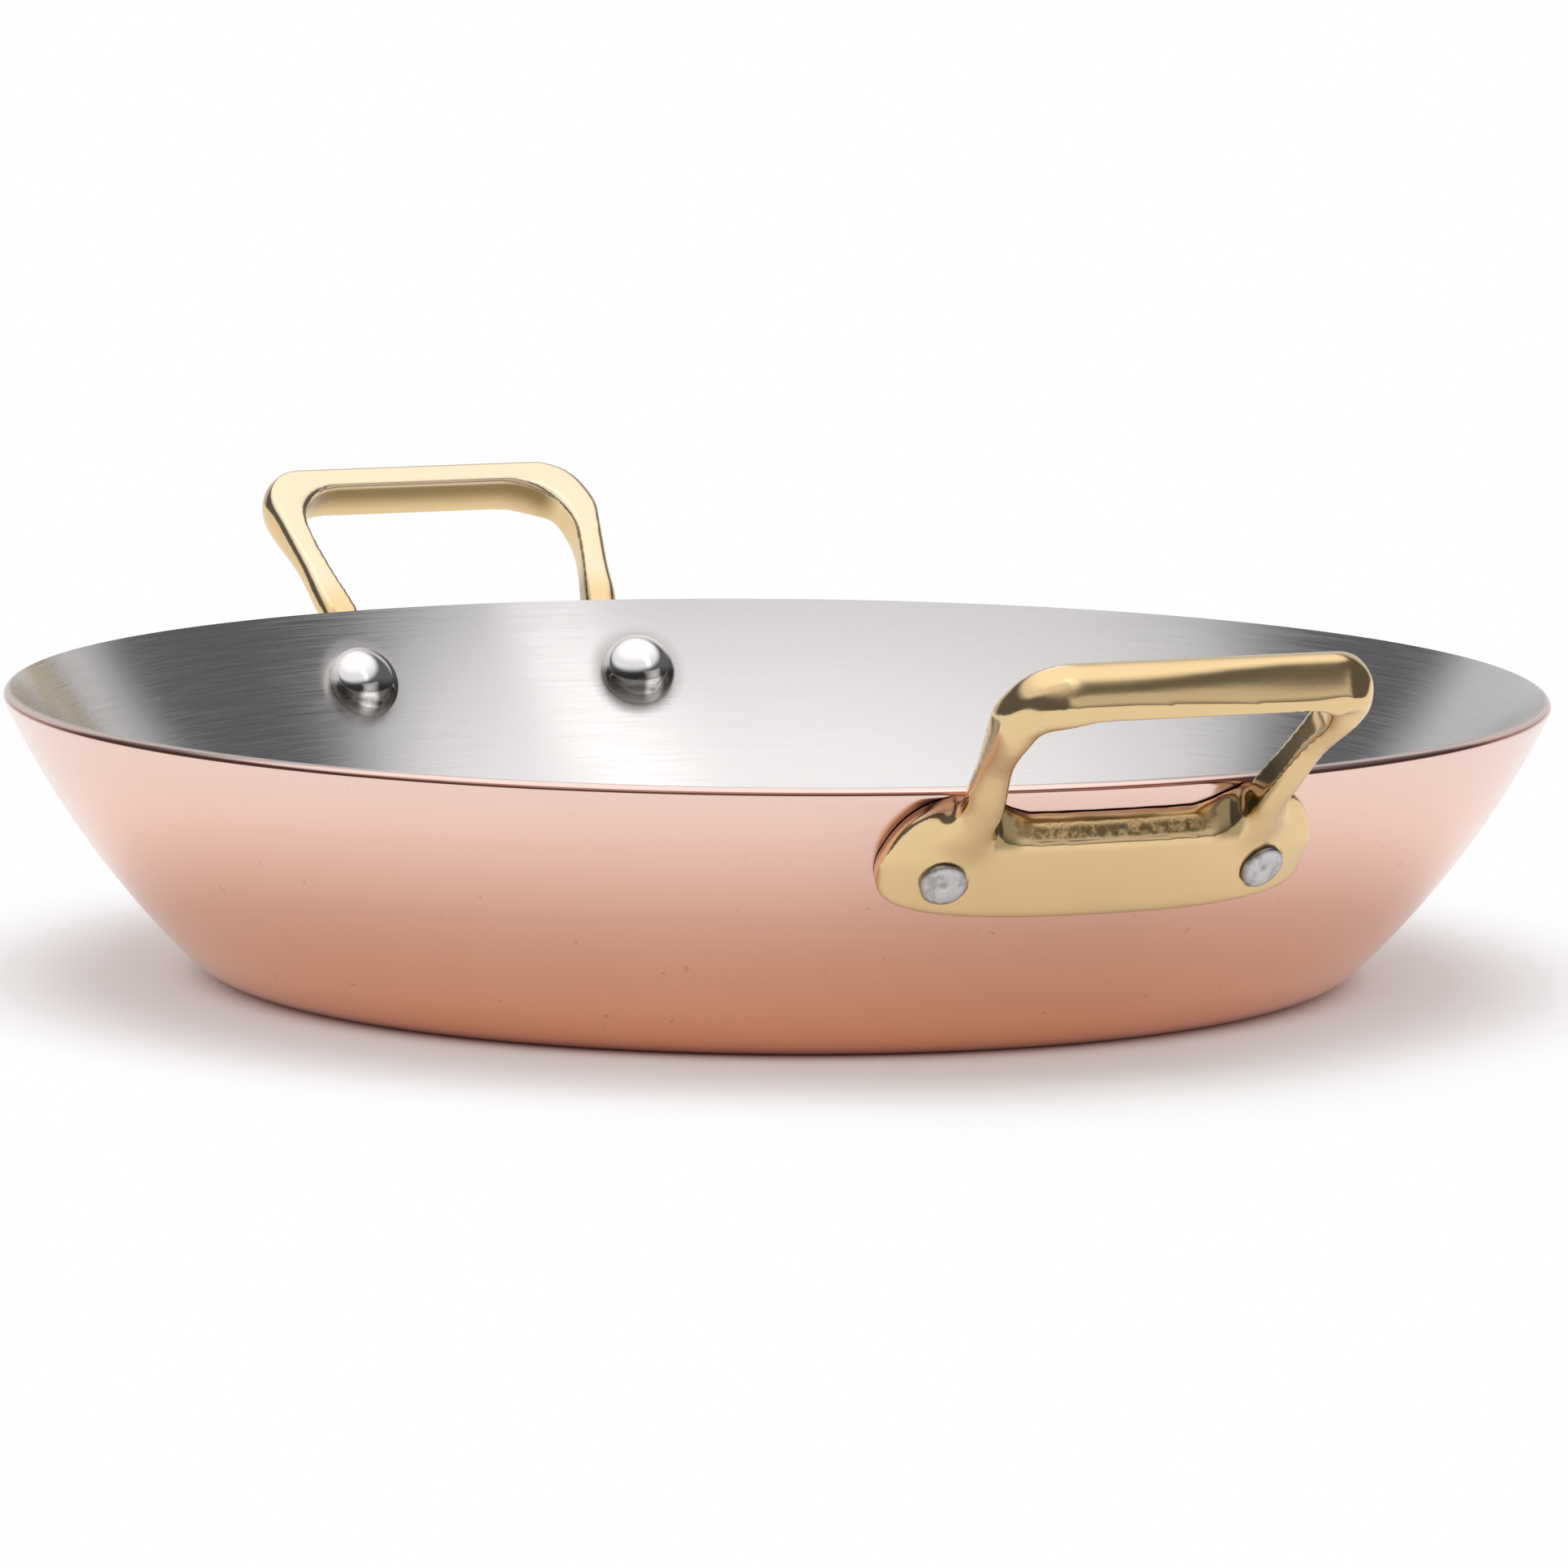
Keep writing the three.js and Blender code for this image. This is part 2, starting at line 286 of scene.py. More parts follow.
class Loft:
    """A bar modelled ring by ring: a circle is drawn, shaped, set in place and bridged on."""

    def __init__(self, name: str, sides: int) -> None:
        """Start a bar.

        Args:
            name: the object's name.
            sides: points on each ring.
        """
        self.name = name
        self.sides = sides
        self.rings = 0
        self.piece: Optional[bpy.types.Object] = None

    def ring(self, radius: float, tilt: float = 0.0) -> None:
        """Draw the next circle about the origin and leave it selected.

        Args:
            radius: the circle's radius.
            tilt: turn of the circle about X, out of the level plane.
        """
        if self.piece is None:
            Bench.clear()
        bpy.ops.mesh.primitive_circle_add(vertices=self.sides, radius=radius)
        if self.piece is None:
            self.piece = bpy.context.object
            Bench.name(self.piece, self.name)
            bpy.ops.object.mode_set(mode="EDIT")
        self.rings += 1
        Bench.rotate(tilt, "X")

    def pick(self, test: Optional[Callable[[Vector], bool]] = None, rings: int = 1) -> None:
        """Select points of the newest rings.

        Args:
            test: takes a point's place, and says whether it is picked; all are without one.
            rings: how many of the newest rings are looked at.
        """
        first = (self.rings - rings) * self.sides
        Bench.pick(self.piece, lambda index, co: index >= first and (test is None or test(co)))

    def bridge(self) -> None:
        """Join the newest ring to the one before it, or close the first one."""
        if self.rings == 1:
            self.pick()
            bpy.ops.mesh.edge_face_add()
        else:
            self.pick(rings=2)
            bpy.ops.mesh.bridge_edge_loops()

    def finish(self) -> bpy.types.Object:
        """Close the last ring and hand over the bar.

        Returns:
            The closed object.
        """
        self.pick()
        bpy.ops.mesh.edge_face_add()
        Bench.outward()
        Bench.clear()
        return self.piece


@dataclass(frozen=True)
class WallShape:
    """Section of the bowl: a flat base, a round corner and a wall on one big curve."""

    rim_radius: float = 140.0 * MM
    height: float = 51.8 * MM
    flare: float = math.radians(25.3)
    curve: float = 165.0 * MM
    corner: float = 14.5 * MM
    copper: float = 1.6 * MM
    bond: float = 0.05 * MM
    steel: float = 0.2 * MM
    rivet_drop: float = 15.1 * MM
    rivet_spread: float = 58.6 * MM

    @property
    def thickness(self) -> float:
        """Return the thickness of both layers and the bond between them."""
        return self.copper + self.bond + self.steel

    @property
    def rim_z(self) -> float:
        """Return the height of the outer edge of the square-cut rim."""
        return self.height - self.thickness * math.sin(self.flare)

    @property
    def centre(self) -> Point:
        """Return radius and height of the centre of the wall's curve."""
        return (
            self.rim_radius - self.curve * math.cos(self.flare),
            self.rim_z + self.curve * math.sin(self.flare),
        )

    @property
    def foot_radius(self) -> float:
        """Return the radius at which the base meets its round corner."""
        reach, level = self.centre
        return reach + math.sqrt((self.curve - self.corner) ** 2 - (level - self.corner) ** 2)

    @property
    def foot_lean(self) -> float:
        """Return the lean of the wall where the corner meets it."""
        reach, level = self.centre
        return math.atan2(level - self.corner, self.foot_radius - reach)

    @property
    def rivet_lean(self) -> float:
        """Return the lean of the wall at the line of the rivets."""
        return self.flare + self.rivet_drop / self.curve

    def on_curve(self, lean: float, out: float) -> Point:
        """Return a point of the wall's section.

        Args:
            lean: lean of the wall at that point.
            out: distance outward from the outer skin.

        Returns:
            Radius and height.
        """
        reach, level = self.centre
        size = self.curve + out
        return (reach + size * math.cos(lean), level - size * math.sin(lean))

    def gap(self, place: Vector) -> float:
        """Return the distance of a place from the wall's outer skin."""
        reach, level = self.centre
        return math.hypot(math.hypot(place.x, place.y) - reach, level - place.z) - self.curve

    def skin(self, out: float, corner_steps: int, wall_steps: int) -> list[Point]:
        """Return one skin of the bowl from the middle of the base to the rim.

        Args:
            out: distance outward from the outer skin.
            corner_steps: steps on the round corner.
            wall_steps: steps on the wall.

        Returns:
            Radius and height of each point, the first one on the axis.
        """
        points = [(0.0, -out), (self.foot_radius / 2, -out)]
        size = self.corner + out
        for step in range(corner_steps + 1):
            lean = lerp(math.pi / 2, self.foot_lean, step / corner_steps)
            points.append(
                (self.foot_radius + size * math.cos(lean), self.corner - size * math.sin(lean))
            )
        for step in range(1, wall_steps + 1):
            points.append(self.on_curve(lerp(self.foot_lean, self.flare, step / wall_steps), out))
        return points

    def rivet_place(self, sign: float, turn: float) -> Matrix:
        """Return the place of a rivet, whose own Z points outward through the wall.

        Args:
            sign: -1 for the front rivet of a handle and 1 for the back one.
            turn: turn of the handle about the pan.

        Returns:
            The matrix from the rivet's own frame to the pan's.
        """
        radius, height = self.on_curve(self.rivet_lean, 0.0)
        side = sign * self.rivet_spread / 2
        swing = Matrix.Rotation(turn + side / radius, 4, "Z")
        tip = Matrix.Rotation(math.pi / 2 + self.rivet_lean, 4, "Y")
        return swing @ Matrix.Translation((radius, 0.0, height)) @ tip


class Wire:
    """One output of a shader node, used in sums as a number is."""

    def __init__(self, graph: "Graph", socket: bpy.types.NodeSocket) -> None:
        """Keep the socket and the graph that it is in."""
        self.graph = graph
        self.socket = socket

    def math(self, operation: str, first: Value, second: Value = 0.0) -> "Wire":
        """Return the result of one sum as a new wire."""
        return self.graph.node("ShaderNodeMath", {"operation": operation}, {0: first, 1: second})

    def __add__(self, other: Value) -> "Wire":
        """Return self + other."""
        return self.math("ADD", self, other)

    def __radd__(self, other: Value) -> "Wire":
        """Return other + self."""
        return self.math("ADD", other, self)

    def __sub__(self, other: Value) -> "Wire":
        """Return self - other."""
        return self.math("SUBTRACT", self, other)

    def __rsub__(self, other: Value) -> "Wire":
        """Return other - self."""
        return self.math("SUBTRACT", other, self)

    def __mul__(self, other: Value) -> "Wire":
        """Return self * other."""
        return self.math("MULTIPLY", self, other)

    def __rmul__(self, other: Value) -> "Wire":
        """Return other * self."""
        return self.math("MULTIPLY", other, self)

    def __truediv__(self, other: Value) -> "Wire":
        """Return self / other."""
        return self.math("DIVIDE", self, other)

    def __rtruediv__(self, other: Value) -> "Wire":
        """Return other / self."""
        return self.math("DIVIDE", other, self)

    def __pow__(self, other: Value) -> "Wire":
        """Return self to the power of other."""
        return self.math("POWER", self, other)

    def __abs__(self) -> "Wire":
        """Return the size of self without its sign."""
        return self.math("ABSOLUTE", self)


@dataclass(frozen=True)
class Grain:
    """One pattern of noise: its waves per unit of place, its finer layers and their strength."""

    scale: float
    detail: float = 2.0
    rough: float = 0.5


class Graph:
    """A node tree that is written as plain expressions."""

    def __init__(self, tree: bpy.types.NodeTree) -> None:
        """Take over a node tree and empty it."""
        self.tree = tree
        tree.nodes.clear()

    def node(
        self,
        kind: str,
        settings: Optional[dict[str, object]] = None,
        sockets: Optional[dict[Union[int, str], Value]] = None,
        output: Union[int, str] = 0,
    ) -> Optional[Wire]:
        """Add any node.

        Args:
            kind: the node's type.
            settings: its properties, set first.
            sockets: values or wires for its inputs, by name or number.
            output: the output that is wanted.

        Returns:
            A wire from that output, or None for a node that has no output.
        """
        made = self.tree.nodes.new(kind)
        for name, value in (settings or {}).items():
            setattr(made, name, value)
        for key, value in (sockets or {}).items():
            if isinstance(value, Wire):
                self.tree.links.new(value.socket, made.inputs[key])
            else:
                made.inputs[key].default_value = value
        return Wire(self, made.outputs[output]) if made.outputs else None

    def step(self, value: Wire, span: Span) -> Wire:
        """Return a smooth step.

        Args:
            value: the value that is looked at.
            span: where the step is 0 and where it is 1, in rising or falling order.

        Returns:
            The step, from 0 to 1.
        """
        low, high = sorted(span)
        rising = self.node(
            "ShaderNodeMapRange",
            {"interpolation_type": "SMOOTHSTEP"},
            {"Value": value, "From Min": low, "From Max": high},
        )
        return rising if span[0] < span[1] else 1.0 - rising

    def mask(self, *parts: tuple[Wire, Span]) -> Wire:
        """Return the product of smooth steps.

        Args:
            parts: the value and the span of each step.

        Returns:
            The mask, which is 1 where every step is.
        """
        product, *others = [self.step(value, span) for value, span in parts]
        for other in others:
            product = product * other
        return product

    def blend(self, share: Value, *ends: Union[Wire, Color]) -> Wire:
        """Return a colour between two others.

        Args:
            share: how far it is from the first to the second.
            ends: the two colours.

        Returns:
            The colour.
        """
        first, second = (end if isinstance(end, Wire) else opaque(end) for end in ends)
        return self.node(
            "ShaderNodeMix", {"data_type": "RGBA"}, {0: share, 6: first, 7: second}, 2
        )

    def noise(self, place: Wire, grain: Grain) -> Wire:
        """Return soft noise from 0 to 1 at a place."""
        sockets = {"Scale": grain.scale, "Detail": grain.detail, "Roughness": grain.rough}
        return self.node("ShaderNodeTexNoise", None, {"Vector": place, **sockets})

    def metal(
        self, color: Wire, dull: Wire, normal: Wire, more: Optional[dict[str, float]] = None
    ) -> Wire:
        """Return the shader of bare metal.

        Args:
            color: the metal's colour.
            dull: its roughness.
            normal: its bent normal.
            more: values of other inputs.

        Returns:
            The shader.
        """
        sockets = {"Base Color": color, "Metallic": 1.0, "Roughness": dull, "Normal": normal}
        return self.node("ShaderNodeBsdfPrincipled", None, {**sockets, **(more or {})})

    def length(self, x: Wire, y: Wire) -> Wire:
        """Return the distance of a place from the origin of its plane."""
        return (x * x + y * y) ** 0.5

    def axes(self, place: Wire) -> tuple[Wire, Wire, Wire]:
        """Return the three parts of a place."""
        split = self.node("ShaderNodeSeparateXYZ", None, {"Vector": place})
        return tuple(Wire(self, out) for out in split.socket.node.outputs)

    def vector(self, x: Value, y: Value, z: Value) -> Wire:
        """Return a vector from three parts."""
        return self.node("ShaderNodeCombineXYZ", None, {0: x, 1: y, 2: z})

    def object_place(self) -> Wire:
        """Return the place on the piece, in metres in the pan's frame."""
        return self.node("ShaderNodeTexCoord", None, None, "Object")

    def bump(self, height: Wire, strength: float, depth: float) -> Wire:
        """Return a normal that is bent by a height.

        Args:
            height: the height pattern, from 0 to 1.
            strength: share of the effect.
            depth: real depth of the pattern in metres.

        Returns:
            The bent normal.
        """
        return self.node(
            "ShaderNodeBump", None, {"Strength": strength, "Distance": depth, "Height": height}
        )


@dataclass(frozen=True)
class LoopPlane:
    """The leaning plane that a loop lies in, over the rim at the middle of each handle."""

    wall: WallShape = WallShape()
    lean: float = math.radians(44.3)
    arm_spread: float = 53.5 * MM
    clear: float = 3.9 * MM

    @property
    def stand(self) -> float:
        """Return how far out the plane stands at the height of the rim."""
        return math.sqrt(self.wall.rim_radius ** 2 - (self.arm_spread / 2) ** 2) + self.clear

    def across(self, reach: Value, height: Value) -> tuple[Value, Value]:
        """Return a place as seen along the plane.

        Args:
            reach: distance out along the handles.
            height: height above the table.

        Returns:
            The distance in front of the plane, and the distance up it from the rim.
        """
        out, above = reach - self.stand, height - self.wall.rim_z
        front = out * math.cos(self.lean) - above * math.sin(self.lean)
        return front, out * math.sin(self.lean) + above * math.cos(self.lean)


@dataclass(frozen=True)
class Finish:
    """A surface finish of a piece on or round the bowl's wall, which makes one material."""

    name: str = "finish"
    wall: WallShape = WallShape()

    def shader(self, graph: Graph) -> Wire:
        """Return the finish's shader; each finish has its own."""
        raise NotImplementedError

    def material(self) -> bpy.types.Material:
        """Make the finish's material.

        Returns:
            The new material.
        """
        made = bpy.data.materials.new(self.name)
        made.use_nodes = True
        graph = Graph(made.node_tree)
        graph.node("ShaderNodeOutputMaterial", None, {"Surface": self.shader(graph)})
        return made


@dataclass(frozen=True)
class PolishedCopper(Finish):
    """Spun copper, polished, with a faint haze, a few specks low on the wall, and painted light
    and shade.
    """

    name: str = "polished_copper"
    color: Color = (0.835, 0.618, 0.552)
    # painted bounce light: the colour that the wall deepens to toward the base
    painted_bounce: Color = (0.90, 0.42, 0.24)
    speck: Color = (0.42, 0.24, 0.17)
    # painted shade: the dark line along the rounded edge just under the rim
    stain: Color = (0.40, 0.15, 0.10)
    edge_height: float = 50.75 * MM
    edge_width: Span = (0.36 * MM, 0.20 * MM)
    edge_share: float = 0.85
    haze: Grain = Grain(22.0, 3.0)
    haze_tint: float = 0.1
    haze_dull: float = 0.07
    lines: Grain = Grain(140.0)
    line_round: float = 0.12
    line_rise: float = 6.0
    line_dull: float = 0.03
    line_share: float = 0.6
    dots: Grain = Grain(420.0, 1.0)
    dot_size: Span = (0.745, 0.78)
    dots_low: float = 0.45
    dots_all: float = 0.03
    roughness: float = 0.15
    relief: float = 0.12
    relief_depth: float = 0.02 * MM

    def shader(self, graph: Graph) -> Wire:
        """Return the copper shader.

        Args:
            graph: the graph that the nodes go in.

        Returns:
            The shader, deeper in colour toward the base, where bounce light between copper and
            floor is painted.
        """
        place = graph.object_place()
        x, y, z = graph.axes(place)
        radius = graph.length(x, y)
        haze = graph.noise(place, self.haze)
        around = graph.vector(
            x / radius * self.line_round, y / radius * self.line_round, z * self.line_rise
        )
        lines = graph.noise(around, self.lines)
        low = 1.0 - z / self.wall.height
        dots = graph.step(graph.noise(place, self.dots), self.dot_size)
        # painted shade: a dark line along the rounded edge just under the rim
        edge = graph.step(abs(z - self.edge_height), self.edge_width)
        # painted bounce light: the colour deepens toward the base, as copper and floor light each
        # other there
        color = graph.blend(low + (haze - MEAN) * self.haze_tint, self.color, self.painted_bounce)
        color = graph.blend(dots * (low * self.dots_low + self.dots_all), color, self.speck)
        color = graph.blend(edge * self.edge_share, color, self.stain)
        dull = self.roughness + (haze - MEAN) * self.haze_dull + lines * self.line_dull
        height = lines * self.line_share + haze * (1.0 - self.line_share)
        return graph.metal(color, dull, graph.bump(height, self.relief, self.relief_depth))


@dataclass(frozen=True)
class RivetedFinish(Finish):
    """A finish that changes near the rivets."""

    def from_axis(self, graph: Graph, x: Wire, y: Wire, z: Wire) -> Wire:
        """Return the distance from the nearest rivet's axis; the four rivets mirror each other.

        Args:
            graph: the graph that the nodes go in.
            x: the place along the handles.
            y: the place across the handles.
            z: the height.

        Returns:
            The distance in metres.
        """
        place = self.wall.rivet_place(1.0, Side.RIGHT.value)
        offset = graph.node(
            "ShaderNodeVectorMath",
            {"operation": "SUBTRACT"},
            {0: graph.vector(abs(x), abs(y), z), 1: place.to_translation()},
        )
        across = graph.node(
            "ShaderNodeVectorMath",
            {"operation": "CROSS_PRODUCT"},
            {0: offset, 1: place.col[2].to_3d()},
        )
        return graph.node("ShaderNodeVectorMath", {"operation": "LENGTH"}, {0: across}, 1)


@dataclass(frozen=True)
class BrushedSteel(RivetedFinish):
    """Steel sheet brushed in fine lines round the bowl, duller close to the rivets."""

    name: str = "brushed_steel"
    color: Color = (0.85, 0.825, 0.81)
    dark: Color = (0.68, 0.66, 0.65)
    roughness: float = 0.22
    stretch: float = 0.75
    stretch_turn: float = 0.25
    coarse: Grain = Grain(1000.0, 3.0, 0.6)
    fine: Grain = Grain(2600.0, 2.0, 0.6)
    coarse_share: float = 0.55
    line_round: float = 0.005
    line_rise: float = 2.4
    line_reach: float = 1.6
    tone_start: float = 0.35
    tone_gain: float = 1.2
    dull_middle: float = 0.47
    dull_gain: float = 0.62
    cloud: Grain = Grain(14.0)
    cloud_tone: float = 0.3
    ring: Span = (10.4 * MM, 7.2 * MM)
    ring_tone: float = 0.25
    ring_dull: float = 0.27
    relief: float = 0.25
    relief_depth: float = 0.02 * MM

    def shader(self, graph: Graph) -> Wire:
        """Return the brushed steel shader.

        Args:
            graph: the graph that the nodes go in.

        Returns:
            The shader, stretched along the brushed lines.
        """
        place = graph.object_place()
        x, y, z = graph.axes(place)
        radius = graph.length(x, y)
        along = graph.vector(
            x / radius * self.line_round,
            y / radius * self.line_round,
            z * self.line_rise + radius * self.line_reach,
        )
        coarse, fine = graph.noise(along, self.coarse), graph.noise(along, self.fine)
        lines = coarse * self.coarse_share + fine * (1.0 - self.coarse_share)
        cloud = graph.noise(place, self.cloud)
        tone = (lines - self.tone_start) * self.tone_gain + (cloud - MEAN) * self.cloud_tone
        ring = graph.step(self.from_axis(graph, x, y, z), self.ring)
        color = graph.blend(tone + ring * self.ring_tone, self.dark, self.color)
        dull = self.roughness + (lines - self.dull_middle) * self.dull_gain + ring * self.ring_dull
        return graph.metal(
            color,
            dull,
            graph.bump(lines, self.relief, self.relief_depth),
            {"Anisotropic": self.stretch, "Anisotropic Rotation": self.stretch_turn},
        )


@dataclass(frozen=True)
class CastBrass(Finish):
    """Cast brass, polished, dark and grainy in the hollow by the wall, with painted highlight and
    shade.

    Each span of a mask runs from where the mask is 0 to where it is 1: a gap is measured out from
    the wall, a side from the middle of the handle, a level up from the table, a rise up the loop's
    plane from the rim and a front out of that plane.
    """

    name: str = "cast_brass"
    color: Color = (0.79, 0.59, 0.325)
    warm: Color = (0.75, 0.545, 0.285)
    # painted highlight, on the loop's flat inner face
    pale: Color = (0.83, 0.69, 0.48)
    # painted shade, under the grip and low on the plate
    shade: Color = (0.26, 0.18, 0.075)
    patina: Color = (0.13, 0.10, 0.045)
    # painted shade with a copper tint, where the brass meets the wall
    painted_copper_shade: Color = (0.30, 0.13, 0.07)
    plane: LoopPlane = LoopPlane()
    wave: Grain = Grain(70.0, 3.0)
    wave_dull: float = 0.06
    wave_height: float = 0.25
    grain: Grain = Grain(700.0, 3.0, 0.65)
    grain_height: float = 0.03
    pits: Grain = Grain(1500.0, 2.0, 0.6)
    pit_height: float = 0.02
    seam_gap: Span = (1.6 * MM, 0.7 * MM)
    hollow_side: Span = (21.0 * MM, 13.0 * MM)
    hollow_start: Span = (1.8 * MM, 3.0 * MM)
    hollow_end: Span = (4.9 * MM, 4.3 * MM)
    hollow_level: Span = (38.5 * MM, 40.5 * MM)
    hollow_grit: Span = (0.34, 0.60)
    hollow_height: float = 1.6
    hollow_dull: float = 0.25
    flank_gap: Span = (2.6 * MM, 1.5 * MM)
    flank_side: Span = (24.0 * MM, 28.0 * MM)
    flank_level: Span = (38.0 * MM, 41.0 * MM)
    crotch_gap: Span = (5.5 * MM, 3.5 * MM)
    crotch_side: Span = (28.2 * MM, 29.6 * MM)
    crotch_level: Span = (46.0 * MM, 48.5 * MM)
    patina_and_shade_share: float = 0.85
    low_level: Span = (31.0 * MM, 26.5 * MM)
    low_share: float = 0.3
    face_front: Span = (1.6 * MM, 0.4 * MM)
    face_rise: Span = (1.0 * MM, 9.0 * MM)
    under_top: Span = (31.6 * MM, 30.6 * MM)
    under_rise: Span = (24.0 * MM, 28.0 * MM)
    under_front: Span = (9.0 * MM, 2.5 * MM)
    under_side: Span = (31.0 * MM, 27.0 * MM)
    inner_lean: float = 0.17
    inner_edge: Span = (25.0 * MM, 24.2 * MM)
    inner_side: Span = (17.0 * MM, 20.0 * MM)
    inner_rise: Span = (12.0 * MM, 4.0 * MM)
    inner_level: Span = (40.0 * MM, 42.0 * MM)
    inner_share: float = 0.6
    roughness: float = 0.13
    relief: float = 0.35
    relief_depth: float = 0.25 * MM

    def shader(self, graph: Graph) -> Wire:
        """Return the brass shader.

        Args:
            graph: the graph that the nodes go in.

        Returns:
            The shader, with patina, painted highlight and painted shade laid over the clean
            casting.
        """
        place = graph.object_place()
        x, y, z = graph.axes(place)
        side = abs(y)
        wave = graph.noise(place, self.wave)
        grain = graph.noise(place, self.grain)
        pits = graph.noise(place, self.pits)
        reach, level = self.wall.centre
        fall = (z - level) * (z - level)
        gap = graph.length(x, y) - ((self.wall.curve ** 2 - fall) ** 0.5 + reach)
        front, rise = self.plane.across(abs(x), z)
        # seam, flank and crotch take painted shade with a copper tint, near the wall
        seam = graph.step(gap, self.seam_gap)
        hollow = graph.mask(
            (side, self.hollow_side), (gap, self.hollow_start),
            (gap, self.hollow_end), (z, self.hollow_level),
        )
        flank = graph.mask((gap, self.flank_gap), (side, self.flank_side), (z, self.flank_level))
        crotch = graph.mask(
            (gap, self.crotch_gap), (side, self.crotch_side), (z, self.crotch_level)
        )
        face = graph.mask((front, self.face_front), (rise, self.face_rise))
        under = graph.mask(
            (rise, self.under_top), (rise, self.under_rise),
            (front, self.under_front), (side, self.under_side),
        )
        inner = graph.mask(
            (side - rise * self.inner_lean, self.inner_edge), (side, self.inner_side),
            (rise, self.inner_rise), (z, self.inner_level),
        )
        grit = hollow * graph.step(grain, self.hollow_grit)
        low = graph.step(z, self.low_level)
        color = graph.blend(wave, self.color, self.warm)
        for share, stain in (
            # painted shade under the grip, for the shaded floor and wall that it mirrors
            (under, self.shade),
            # painted highlight: a paler colour on the loop's flat inner face
            (face, self.pale),
            # painted shade along the lower edge of the plate
            (low * self.low_share, self.shade),
            (grit * self.patina_and_shade_share, self.patina),
            (inner * self.inner_share, self.patina),
            # painted shade with a copper tint: at the seam with the wall, on the shoulder flank
            # and in the crotch of the arms
            (seam * self.patina_and_shade_share, self.painted_copper_shade),
            (flank * self.patina_and_shade_share, self.painted_copper_shade),
            (crotch * self.patina_and_shade_share, self.painted_copper_shade),
        ):
            color = graph.blend(share, color, stain)
        dull = self.roughness + (wave - MEAN) * self.wave_dull + hollow * self.hollow_dull
        rough = grain * (hollow * self.hollow_height + self.grain_height)
        height = wave * self.wave_height + rough + pits * self.pit_height
        return graph.metal(color, dull, graph.bump(height, self.relief, self.relief_depth))


@dataclass(frozen=True)
class RivetSteel(RivetedFinish):
    """Steel rivets, bright on the dome, with painted shade and highlight low on it, and dull on
    the tail.
    """

    name: str = "rivet_steel"
    color: Color = (0.80, 0.78, 0.77)
    # painted highlight, the bright spot low on the dome
    bright: Color = (1.0, 0.985, 0.95)
    # painted shade, the dark band low on the dome
    shadow: Color = (0.10, 0.092, 0.075)
    dull: Color = (0.60, 0.58, 0.585)
    scale: Color = (0.27, 0.25, 0.24)
    tail_radius: Span = (134.0 * MM, 136.0 * MM)
    tail_edge: Span = (3.1 * MM, 4.0 * MM)
    edge_share: float = 0.7
    tail_middle: Span = (0.9 * MM, 0.3 * MM)
    middle_share: float = 0.6
    mottle: Grain = Grain(420.0, 3.0, 0.6)
    mottle_size: Span = (0.48, 0.68)
    mottle_share: float = 0.55
    band_top: Span = (40.5 * MM, 38.5 * MM)
    band_level: Span = (31.5 * MM, 36.0 * MM)
    band_least: float = 0.15
    band_gain: float = 0.7
    spot_side: float = 29.6 * MM
    spot_height: float = 36.0 * MM
    spot_squeeze: float = 0.6
    spot_size: Span = (1.0 * MM, 2.5 * MM)
    grain: Grain = Grain(700.0, 3.0, 0.6)
    grain_dull: float = 0.2
    roughness: float = 0.045
    tail_dull: float = 0.20
    relief: float = 0.5
    relief_depth: float = 0.06 * MM

    def shader(self, graph: Graph) -> Wire:
        """Return the rivet shader.

        Args:
            graph: the graph that the nodes go in.

        Returns:
            The shader for dome and tail, told apart by their distance from the pan's axis.
        """
        place = graph.object_place()
        x, y, z = graph.axes(place)
        tail = graph.step(graph.length(x, y), self.tail_radius)
        reach = self.from_axis(graph, x, y, z)
        grain = graph.noise(place, self.grain)
        mottle = graph.step(graph.noise(place, self.mottle), self.mottle_size)
        edge = graph.step(reach, self.tail_edge)
        middle = graph.step(reach, self.tail_middle)
        stain = edge * self.edge_share + middle * self.middle_share + mottle * self.mottle_share
        # painted shade: a dark band low on each dome
        level = graph.step(z, self.band_level) * self.band_gain + self.band_least
        band = graph.step(z, self.band_top) * level
        # painted highlight: a bright spot low on each dome, kept out of the dark band
        above = (z - self.spot_height) * self.spot_squeeze
        plain = graph.step(graph.length(abs(y) - self.spot_side, above), self.spot_size)
        color = graph.blend(plain, self.bright, self.color)
        color = graph.blend(band * plain, color, self.shadow)
        color = graph.blend(tail, color, self.dull)
        color = graph.blend(stain * tail, color, self.scale)
        dull = self.roughness + tail * (self.tail_dull + grain * self.grain_dull)
        return graph.metal(color, dull, graph.bump(grain * tail, self.relief, self.relief_depth))


